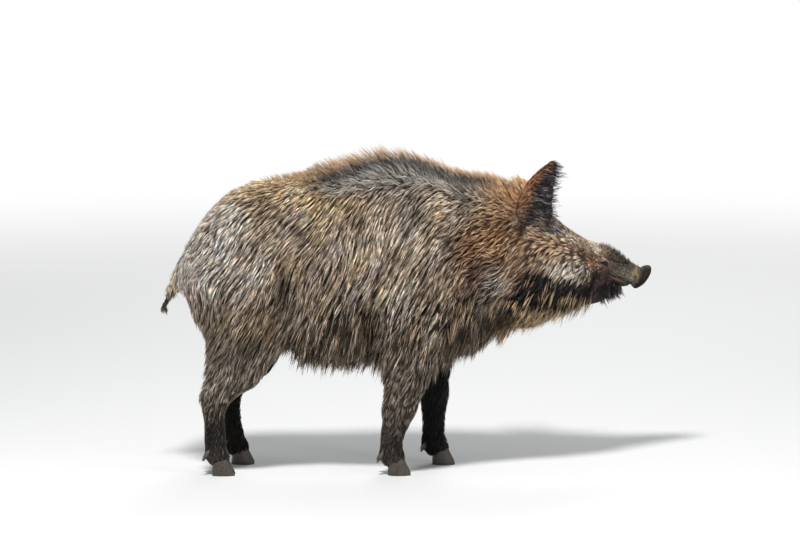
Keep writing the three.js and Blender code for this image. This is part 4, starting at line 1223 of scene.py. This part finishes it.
def coat_piece(name, slot, density, length, width, depth, free, stand, seed, clump=6, together=0.7,
               bunch=0.09, stray=0.045, hang_way=None, tones=None, fade_power=0.6, contrast=1.35,
               wave=0.022, joints=3, ridge_height=0.0, groove_shade=1.0, repaint=None, uneven=1.0, shared=0.4,
               sharp=None, early=None):
    """Lays one piece of coat. density, in locks a square metre, is given for every vertex of the
    skin. These are so too, or are single values: length, width and depth (of the tip over the
    skin) in metres, free (0 follows the skin, 1 hangs clear of it), stand (how far a lock stands
    off at once), sharp (more contrast between the painted light and shade of the locks) and early
    (more locks are painted light). clump is the number of locks that lean together, and together
    how far they do. bunch and stray turn clumps and single locks aside, wave bends them, uneven
    varies their length, and shared is how much of its rank, and so of its height and painted light
    and shade, a lock has from its clump. fade_power sets how the tone runs from root to tip, and
    contrast how strong the painted light and shade are from lock to lock. ridge_height raises the
    ridges of the wet coat, and groove_shade sets how dark the painted shade is between them.
    hang_way, tones and repaint are functions of the roots or vertices."""
    draw = np.random.default_rng(seed)
    face, share_of = pick_roots(density, seed + 1)
    count = len(face)
    root = at_roots(points, face, share_of)
    facing = unit(at_roots(normals, face, share_of))
    table = at_roots(shares, face, share_of)
    flow = lie(root, facing, table)

    # Neighbouring locks lean on the nearest leading one: they share its turn, height and point.
    lead = nearest_leader(draw, root, clump)
    varied = draw.uniform(0.75, 1.25, count)[lead] * draw.uniform(0.8, 1.12, count)
    long = at_roots(length, face, share_of) * varied ** uneven
    wide = at_roots(width, face, share_of) * draw.uniform(0.55, 1.45, count)
    # Which locks lie on top and which lie under; the rank also sets the painted light and shade of each lock.
    rank = shared * draw.uniform(0, 1, count)[lead] + (1 - shared) * draw.uniform(0, 1, count)
    deep = at_roots(depth, face, share_of) * (0.35 + 0.75 * rank)
    loose = np.clip(at_roots(free, face, share_of) * draw.uniform(0.75, 1.15, count)[lead], 0, 1)
    off = at_roots(stand, face, share_of) * draw.uniform(0.7, 1.3, count)[lead]
    turn = draw.normal(0, bunch, count)[lead] + draw.normal(0, stray, count)
    flow = unit(flow + np.cross(flow, facing) * turn[:, None])
    hang = hang_way(root, facing, table) if hang_way else np.tile([-0.25, 0.0, -1.0], (count, 1))
    spine, out_way, ridges = lay_spines(root, facing, flow, hang, long, deep, loose, off, joints,
                                        ridge_height)
    pull = together * draw.uniform(0.7, 1.15, count).clip(0, 1)
    for step in range(1, joints + 1):
        lean = pull * (step / joints) ** LEAN_EARLY
        spine[:, step] += (spine[lead, step] - spine[:, step]) * lean[:, None]
    wobble = draw.normal(0, 1, (count, joints + 1, 3)) * (long * wave)[:, None, None]
    wobble[:, 0] = 0
    spine += wobble
    locks = lock_points(spine, out_way, wide, draw.uniform(-0.5, 0.5, count))
    mesh = lock_mesh(name, locks, joints, unrolled(root, table))

    root_tone, tip_tone = tones(root, table, facing) if tones else markings(root, table)
    pale = 0 if early is None else at_roots(early, face, share_of)
    # painted light and shade: a lock is lighter the higher its rank, most of all towards its tip
    shine = 0.16 + contrast * ramp(rank, 0.22 - 0.07 * pale, 0.85 - 0.23 * pale)
    light = np.exp(draw.normal(0, 0.16, count)) * shine
    if sharp is not None:
        light = light ** (1 + at_roots(sharp, face, share_of))
    t = per_point(np.arange(joints + 1)[None] / joints)[0]
    colours = root_tone[:, None] + (tip_tone - root_tone)[:, None] * (t ** fade_power)[None, :, None]
    colours = colours * (light[:, None] ** (0.35 + 0.65 * t[None]))[:, :, None]
    # painted shade in the grooves between the ridges of the coat
    if ridge_height:
        ridges[:, 0] = ridges[:, 1]
        shade_in_groove = 0.88 - 1.08 * ramp(per_point(ridges), -0.95, 0.55)
        colours = colours * (1 - groove_shade * shade_in_groove)[:, :, None]
    if repaint:
        colours = repaint(per_point(spine), colours, rank)
    paint(mesh, "marking", colours.reshape(-1, 3))
    made = new_piece(name, mesh)
    finish_as(made, wet_hair)
    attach(made, "root")


wet_hair, node, join, out = fresh_material("wet_hair")
marked = node("Attribute", attribute_name="marking")
placing = node("TexCoord")
silt = node("TexNoise", Scale=95.0, Detail=5.0, Roughness=0.6)
strands = node("TexNoise", Scale=900.0, Detail=2.0)
patch = node("MapRange", From_Min=0.3, From_Max=0.7, To_Min=0.72, To_Max=1.28)
tinted = node("VectorMath", operation="SCALE")
rough = node("MapRange", From_Min=0.35, From_Max=0.7, To_Min=0.38, To_Max=0.62)
rise = node("Bump", Strength=0.35, Distance=0.0006)
surface = node("BsdfPrincipled", Specular_IOR_Level=0.17)
join((placing, "Object", silt, "Vector"), (placing, "Object", strands, "Vector"),
     (silt, "Fac", patch, "Value"), (marked, "Color", tinted, 0), (patch, "Result", tinted, "Scale"),
     (tinted, 0, surface, "Base Color"), (silt, "Fac", rough, "Value"),
     (rough, "Result", surface, "Roughness"), (strands, "Fac", rise, "Height"),
     (rise, 0, surface, "Normal"), (surface, 0, out, "Surface"))

# ---------- long coat of the body ----------
# Wet, silty guard hair three to eight centimetres long covers the back, flanks and shoulders in
# pointed locks that run down and back; it hangs clear under the belly, chest and throat.
BODY_SPACING, FLANK_LOCK, NECK_LOCK = 0.0037, 0.0024, 0.0022  # between locks, and their widths
x, y, z = points.T
body = share("trunk", "neck")
down_facing = ramp(-normals[:, 2], 0.0, 0.6)
up_facing = ramp(normals[:, 2], 0.55, 0.9)
at_rump = ramp(x, -0.40, -0.50)
over_rump = ramp(x, -0.26, -0.36) * ramp(normals[:, 2] - 0.3 * normals[:, 0], 0.2, 0.7)
neck_curls = ramp(x, 0.13, 0.20) * ramp(z, 0.52, 0.58)
low_side_shade = ramp(z, 0.54, 0.40) * body
hair_length = (0.055 + 0.026 * down_facing * (1 - at_rump) - 0.008 * ramp(x, -0.3, -0.5) - 0.006 * up_facing
               - 0.010 * ramp(x, 0.02, 0.14) - 0.016 * neck_curls)
long_coat = dict(
    length=hair_length,
    depth=0.010 + 0.024 * down_facing * (1 - 0.85 * at_rump) + 0.007 * over_rump,
    free=0.9 * down_facing * ramp(z, 0.56, 0.44) * (1 - 0.9 * at_rump),
    stand=0.10 + 0.25 * down_facing * (1 - at_rump) + 0.15 * over_rump,
    clump=4, joints=2,
)
body_density = body / BODY_SPACING ** 2
right, rear, fore = ramp(y, -0.024, -0.034), ramp(x, -0.215, -0.225), ramp(x, 0.085, 0.095)
middle = (1 - rear) * (1 - fore)
for number, (name, mask) in enumerate((
        ("right_rear", right * rear), ("right_middle", right * middle),
        ("left_rear", (1 - right) * rear), ("left_middle", (1 - right) * middle))):
    # painted light and shade of the locks: low on the sides fewer are light and the contrast is stronger, and
    # towards the rump it is weaker
    coat_piece("coat_flank_" + name, "body_coat", body_density * mask, width=FLANK_LOCK,
               seed=100 + 7 * number, together=0.66, bunch=0.05, stray=0.035, ridge_height=0.0022,
               contrast=1.40, early=1 - 0.9 * low_side_shade,
               sharp=0.3 + 1.5 * low_side_shade - 0.3 * ramp(x, -0.34, -0.48), **long_coat)
for number, (name, mask) in enumerate((("right", right * fore), ("left", (1 - right) * fore))):
    behind_ear = ramp(x, 0.17, 0.24) * ramp(z, 0.57, 0.63)
    # painted light and shade of the locks: fewer are light low on the sides and forward on the neck, the
    # contrast is stronger low on the sides and weaker behind the ear
    coat_piece("coat_neck_" + name, "body_coat", body_density * (1 + 0.5 * neck_curls) * mask,
               width=NECK_LOCK - 0.0005 * neck_curls, seed=140 + 7 * number, together=0.65, bunch=0.16,
               stray=0.08, ridge_height=0.0018, groove_shade=0.8, wave=0.03, contrast=1.50,
               early=0.7 - 0.7 * np.maximum(low_side_shade, ramp(x, 0.06, 0.16)),
               sharp=0.35 + 0.9 * low_side_shade - 0.8 * behind_ear, **long_coat)

# ---------- mane ----------
# A crest of stiff bristles stands along the withers and neck, highest over the shoulders and
# swept a little back. Its points are tan, over a slate band on the neck and grey over the withers.
MANE_SPACING, MANE_LOCK = 0.0029, 0.0016
CREST_X = [-0.33, -0.30, -0.246, -0.194, -0.142, -0.09, -0.047, 0.0055,
           0.058, 0.103, 0.147, 0.195, 0.242, 0.285, 0.323, 0.35]
CREST_Z = [0.736, 0.742, 0.756, 0.772, 0.794, 0.809, 0.815, 0.813,
           0.794, 0.773, 0.762, 0.757, 0.745, 0.728, 0.706, 0.70]
SWEPT_BACK = 0.034  # how far the tips of the bristles lie behind their roots
from_middle = np.abs(y - np.interp(x, MIDDLE_X, MIDDLE_Y))
crest_top = np.interp(x - SWEPT_BACK, CREST_X, CREST_Z)
on_crest = ((body + share("head")) * ramp(from_middle, 0.085, 0.03) * ramp(normals[:, 2], 0.35, 0.7)
            * ramp(x, -0.36, -0.22) * ramp(x, 0.36, 0.33) * (1 + 0.5 * ramp(from_middle, 0.03, 0.01)))
rise_over = (np.clip(crest_top - z, 0.016, 0.12) * (0.72 + 0.28 * ramp(from_middle, 0.06, 0.02))
             * (1.0 + 0.34 * ramp(x, 0.08, -0.06) + 0.45 * ramp(x, -0.05, -0.11)))


def crest_tones(where, table, facing):
    root, tip = markings(where, table)
    slate = 0.8 * ramp(where[:, 0], 0.28, 0.20) * ramp(where[:, 0], -0.24, -0.13)
    return blend_in(root, tone(30, 28, 30), slate), tip


def crest_bands(where, colours, rank):
    """Tan points over a slate band, over grey strands that end where the back's hair begins."""
    along = where[:, :, 0]
    below = np.interp(along, CREST_X, CREST_Z) - where[:, :, 2] + 0.004 * (rank[:, None] - 0.5)
    lit = (0.22 + 1.1 * rank)[:, None, None]
    over_withers = ramp(along, 0.27, 0.10)
    slate_end = ramp(below, 0.028 + 0.022 * over_withers, 0.018 + 0.020 * over_withers)
    slate = ramp(below, 0.012, 0.024) * slate_end * ramp(along, 0.29, 0.25) * ramp(along, -0.27, -0.14)
    grey = ramp(below, 0.030, 0.046) * over_withers * (rank > 0.4)[:, None]
    rusty = ramp(below, 0.018, 0.034) * (1 - over_withers)
    for colour, amount, most in ((tone(240, 190, 140) * lit, rusty, 0.85),
                                 (tone(226, 220, 208) * lit, grey, 0.8),
                                 (tone(92, 94, 98) * lit ** 2, slate, 0.85)):
        colours = colours + (colour - colours) * amount[:, :, None] * most
    tan = ramp(below, 0.024, 0.012)[:, :, None]
    over_back = ramp(along, -0.12, -0.24)[:, :, None]
    tan_tone = tone(240, 196, 148) * (1 - over_back) + tone(206, 174, 140) * over_back
    return colours + (tan_tone * lit - colours) * tan * (1 - 0.25 * over_back)


def crest_way(where, facing, table):
    side = np.tanh((where[:, 1] - np.interp(where[:, 0], MIDDLE_X, MIDDLE_Y)) / 0.04)
    back = -0.80 + 0.25 * ramp(where[:, 0], -0.1, 0.05)
    return unit(np.column_stack([back, 0.10 * side, np.full(len(side), 0.62)]))


coat_piece("coat_mane", "body_coat", on_crest / MANE_SPACING ** 2, length=rise_over, width=MANE_LOCK,
           depth=0.012, free=0.45 + 0.5 * ramp(from_middle, 0.06, 0.02), stand=0.85, seed=151, clump=3,
           together=0.5, bunch=0.08, stray=0.05, hang_way=crest_way, tones=crest_tones, fade_power=1.5,
           contrast=1.3, repaint=crest_bands, uneven=0.35, wave=0.01)

# ---------- fringe ----------
# Along the belly, chest and throat the longest hair hangs in separate dripping locks.
FRINGE_SPACING, FRINGE_LONG, FRINGE_LOCK = 0.0085, 0.078, 0.0036
belly_line = body * ramp(-normals[:, 2], 0.1, 0.5) * ramp(z, 0.55, 0.46) * (1 - at_rump)
coat_piece("coat_fringe", "body_coat", belly_line / FRINGE_SPACING ** 2, length=FRINGE_LONG,
           width=FRINGE_LOCK, depth=0.03, free=0.95, stand=0.35, seed=161, clump=7, together=0.85,
           bunch=0.25, contrast=1.7, sharp=0.7)

# ---------- legs ----------
# Short wet hair hugs the legs, longest on the thigh and behind the forearm, and ends in a fringe
# over the hooves.
LEG_SPACING = 0.0055
leg_length = 0.021 + 0.034 * ramp(z, 0.16, 0.42) + 0.011 * ramp(z, 0.10, 0.06)
leg_width = 0.0019 + 0.0008 * ramp(z, 0.15, 0.4)
leg_depth = 0.0045 + 0.010 * ramp(z, 0.16, 0.4)
behind_leg = ramp(-normals[:, 0], 0.3, 0.9) * ramp(z, 0.10, 0.22)
for number, name in enumerate(LEGS):
    coat_piece("coat_" + name, "leg_coat", share(name) / LEG_SPACING ** 2 * (1 + 0.6 * ramp(z, 0.2, 0.1)),
               length=leg_length, width=leg_width, depth=leg_depth, free=0.35 * behind_leg,
               stand=0.15 + 0.2 * behind_leg, seed=201 + 7 * number, clump=3, joints=2)

# ---------- head ----------
# Short fine hair lies close on the face, finest on the muzzle and round the eyes; it grows out
# to streaked ruff over the cheek and jowl, black bristles on the brow and muzzle, and whiskers.
HEAD_SPACING, FACE_SPACING, FACE_LOCK, FACE_LONG = 0.0025, 0.0016, 0.0011, 0.011
ahead, aside, above = to_head(points).T
on_head = share("head", "lower_jaw")
furred = on_head * ramp(by_eye, 1.0, 3.5) * (1 - bare_disc)
jowl = ramp(above, -50, -95) * ramp(ahead, 240, 190)
ruff = ramp(ahead, 165, 95) * ramp(above, 20, -25)
ear_foot = np.exp(-((ahead + 24) / 34) ** 2 - ((above - 24) / 16) ** 2)
before_ear = np.exp(-((ahead + 5) / 26) ** 2 - ((above - 20) / 16) ** 2)
chin = (share("lower_jaw") * ramp(above - lip_line, -6, -14) * ramp(ahead, 150, 180)
        * ramp(-normals[:, 2], -0.1, 0.35))
hair_long = np.clip(FACE_LONG + 0.008 * ramp(ahead, 150, 50) + 0.016 * jowl + 0.014 * ruff
                    + 0.018 * ear_foot + chin * (0.011 + 0.008 * ramp(ahead, 205, 255)), 0, 0.042)


def face_hang(where, facing, table):
    forward = ramp(to_head(where)[:, 0], 200, 245)
    return np.column_stack([-0.35 + 1.1 * forward, np.zeros(len(forward)), -np.ones(len(forward))])


right_side = ramp(aside, 1, -1)
for number, (name, mask) in enumerate((("right", right_side), ("left", 1 - right_side))):
    on_cheek = furred * mask * np.clip(ramp(ahead, 225, 165) + chin, 0, 1)
    coat_piece("coat_head_" + name, "face_coat", on_cheek / HEAD_SPACING ** 2 * (1 + 0.8 * before_ear),
               length=hair_long, width=FACE_LOCK + 0.018 * (hair_long - FACE_LONG),
               depth=0.0028 + 0.17 * (hair_long - FACE_LONG),
               free=np.clip(0.7 * jowl * ramp(-normals[:, 2], -0.1, 0.4) + 0.9 * chin, 0, 0.9),
               stand=0.2 + 0.3 * chin, seed=301 + 7 * number, together=0.8, bunch=0.12, stray=0.05,
               hang_way=face_hang, contrast=1.6, joints=2, shared=0.7,
               sharp=0.35 + 0.4 * jowl - 0.6 * ramp(above, -18, 6))
    coat_piece("coat_face_" + name, "face_coat", furred * mask * ramp(ahead, 110, 160) / FACE_SPACING ** 2,
               length=0.0088 + 0.003 * ramp(ahead, 300, 180), width=FACE_LOCK, depth=0.0026, free=0.0,
               stand=0.22, seed=321 + 7 * number, clump=3, together=0.4, bunch=0.12, stray=0.08,
               contrast=1.7, joints=1, shared=0.6)

# Black bristles stand on the brow and along the top of the muzzle.
BRISTLE_SPACING, BRISTLE_LOCK = 0.0026, 0.0013
on_ridge = np.exp(-((ahead - 238) / 44) ** 2)
bristle_line = on_head * on_ridge * ramp(above, 2, 16) * ramp(normals[:, 2], -0.1, 0.4)
bristle_long = 0.010 + 0.012 * np.exp(-((ahead - 236) / 30) ** 2)


def bristle_way(where, facing, table):
    return facing * 0.9 - AHEAD[None] * 0.55


coat_piece("coat_brow", "face_coat", bristle_line / BRISTLE_SPACING ** 2, length=bristle_long,
           width=BRISTLE_LOCK, depth=0.009, free=0.85, stand=0.7, seed=341, clump=3, together=0.3,
           bunch=0.25, stray=0.2, hang_way=bristle_way, contrast=1.6, joints=2)

# Pale whiskers hang past the dark hair of the jowl and throat.
WHISKER_SPACING, WHISKER_LONG, WHISKER_LOCK = 0.0085, 0.046, 0.0018
on_jowl = on_head * ramp(above, -80, -100) * ramp(ahead, 235, 205)
on_throat = body * ramp(x, 0.10, 0.17) * ramp(z, 0.52, 0.46)
throat_line = np.clip(on_jowl + on_throat, 0, 1) * ramp(-normals[:, 2], -0.2, 0.3)


def whisker_tones(where, table, facing):
    return np.tile(tone(64, 48, 34), (len(where), 1)), np.tile(tone(222, 188, 148), (len(where), 1))


coat_piece("coat_whiskers", "face_coat", throat_line / WHISKER_SPACING ** 2, length=WHISKER_LONG,
           width=WHISKER_LOCK, depth=0.02, free=0.9, stand=0.35, seed=331, clump=4, together=0.4,
           bunch=0.3, tones=whisker_tones, contrast=1.5, sharp=0.5)

# ---------- ears ----------
# Upright leaf-shaped ears: short rust hair on the back and back edge, long black hair combed
# forward across the hollow, out past the front edge and off the tip in wisps.
EAR_SPACING, EAR_LOCK, WISP_SPACING, WISP_LOCK = 0.0030, 0.0015, 0.0034, 0.0012
ears = share(*EARS)
tipness, across_ear = ear_place(points)
in_hollow = sum(share(name) * ramp(normals @ EAR_AXES[name][1], -0.1, 0.4) for name in EARS)
on_ears = ears * (1 + 0.8 * ramp(across_ear, 0.3, 0.1))
coat_piece("coat_ears", "ear_coat", on_ears / EAR_SPACING ** 2, length=0.013 + 0.006 * in_hollow,
           width=EAR_LOCK, depth=0.0030, free=0.2, stand=0.12, seed=401, clump=3, contrast=1.7, joints=2)


def wisp_tones(where, table, facing):
    _, across = ear_place(where)
    root, tip = markings(where, table)
    dark = ramp(across, 0.2, 0.4)
    # painted highlights: some of the black wisps are painted pale grey
    painted_glint = dark * ramp(waves(where, 0.006, 71), 0.2, 0.5)
    root, tip = blend_in(root, tone(8, 7, 7), dark), blend_in(tip, tone(46, 42, 44), dark)
    return blend_in(root, tone(110, 106, 112), painted_glint), blend_in(tip, tone(150, 145, 149), painted_glint)


def wisp_way(where, facing, table):
    tipness, _ = ear_place(where)
    bend = 0.1 + 0.35 * tipness[:, None]
    way = np.zeros_like(where)
    for name, (tip_way, hollow_way, front_way) in EAR_AXES.items():
        ours = front_way[None] + tip_way[None] * bend + hollow_way[None] * 0.12
        way = way + part_share(table, name)[:, None] * ours
    return unit(way)


near_edge = ramp(across_ear, 0.2, 0.45)
base_front = ramp(tipness, 0.42, 0.2) * ramp(across_ear, 0.5, 0.75)
wisp_line = ears * np.clip(in_hollow + ramp(tipness, 0.8, 0.95), 0, 1) * near_edge * ramp(tipness, -0.1, 0.05)
coat_piece("coat_ear_wisps", "ear_coat", wisp_line / WISP_SPACING ** 2,
           length=0.032 + 0.012 * ramp(tipness, 0.45, 0.9) + 0.012 * base_front, width=WISP_LOCK,
           depth=0.005, free=0.8, stand=0.25, seed=431, clump=5, together=0.75, bunch=0.14, stray=0.05,
           hang_way=wisp_way, tones=wisp_tones, contrast=2.2)

# ---------- tail ----------
# A short tail lies against the rump under a thick pale tuft and ends in a few dark hairs.
TAIL_SPACING, TAIL_LOCK = 0.0024, 0.0018


def tail_hang(where, facing, table):
    return np.tile([[0.5, 0, -1.0]], (len(where), 1))


coat_piece("coat_tail", "body_coat", share("tail") / TAIL_SPACING ** 2,
           length=0.034 + 0.018 * ramp(z, 0.46, 0.50), width=TAIL_LOCK, depth=0.010, free=0.55,
           stand=0.45 * ramp(z, 0.45, 0.48), seed=501, clump=5, together=0.75, bunch=0.16,
           hang_way=tail_hang, contrast=1.5, shared=0.6)
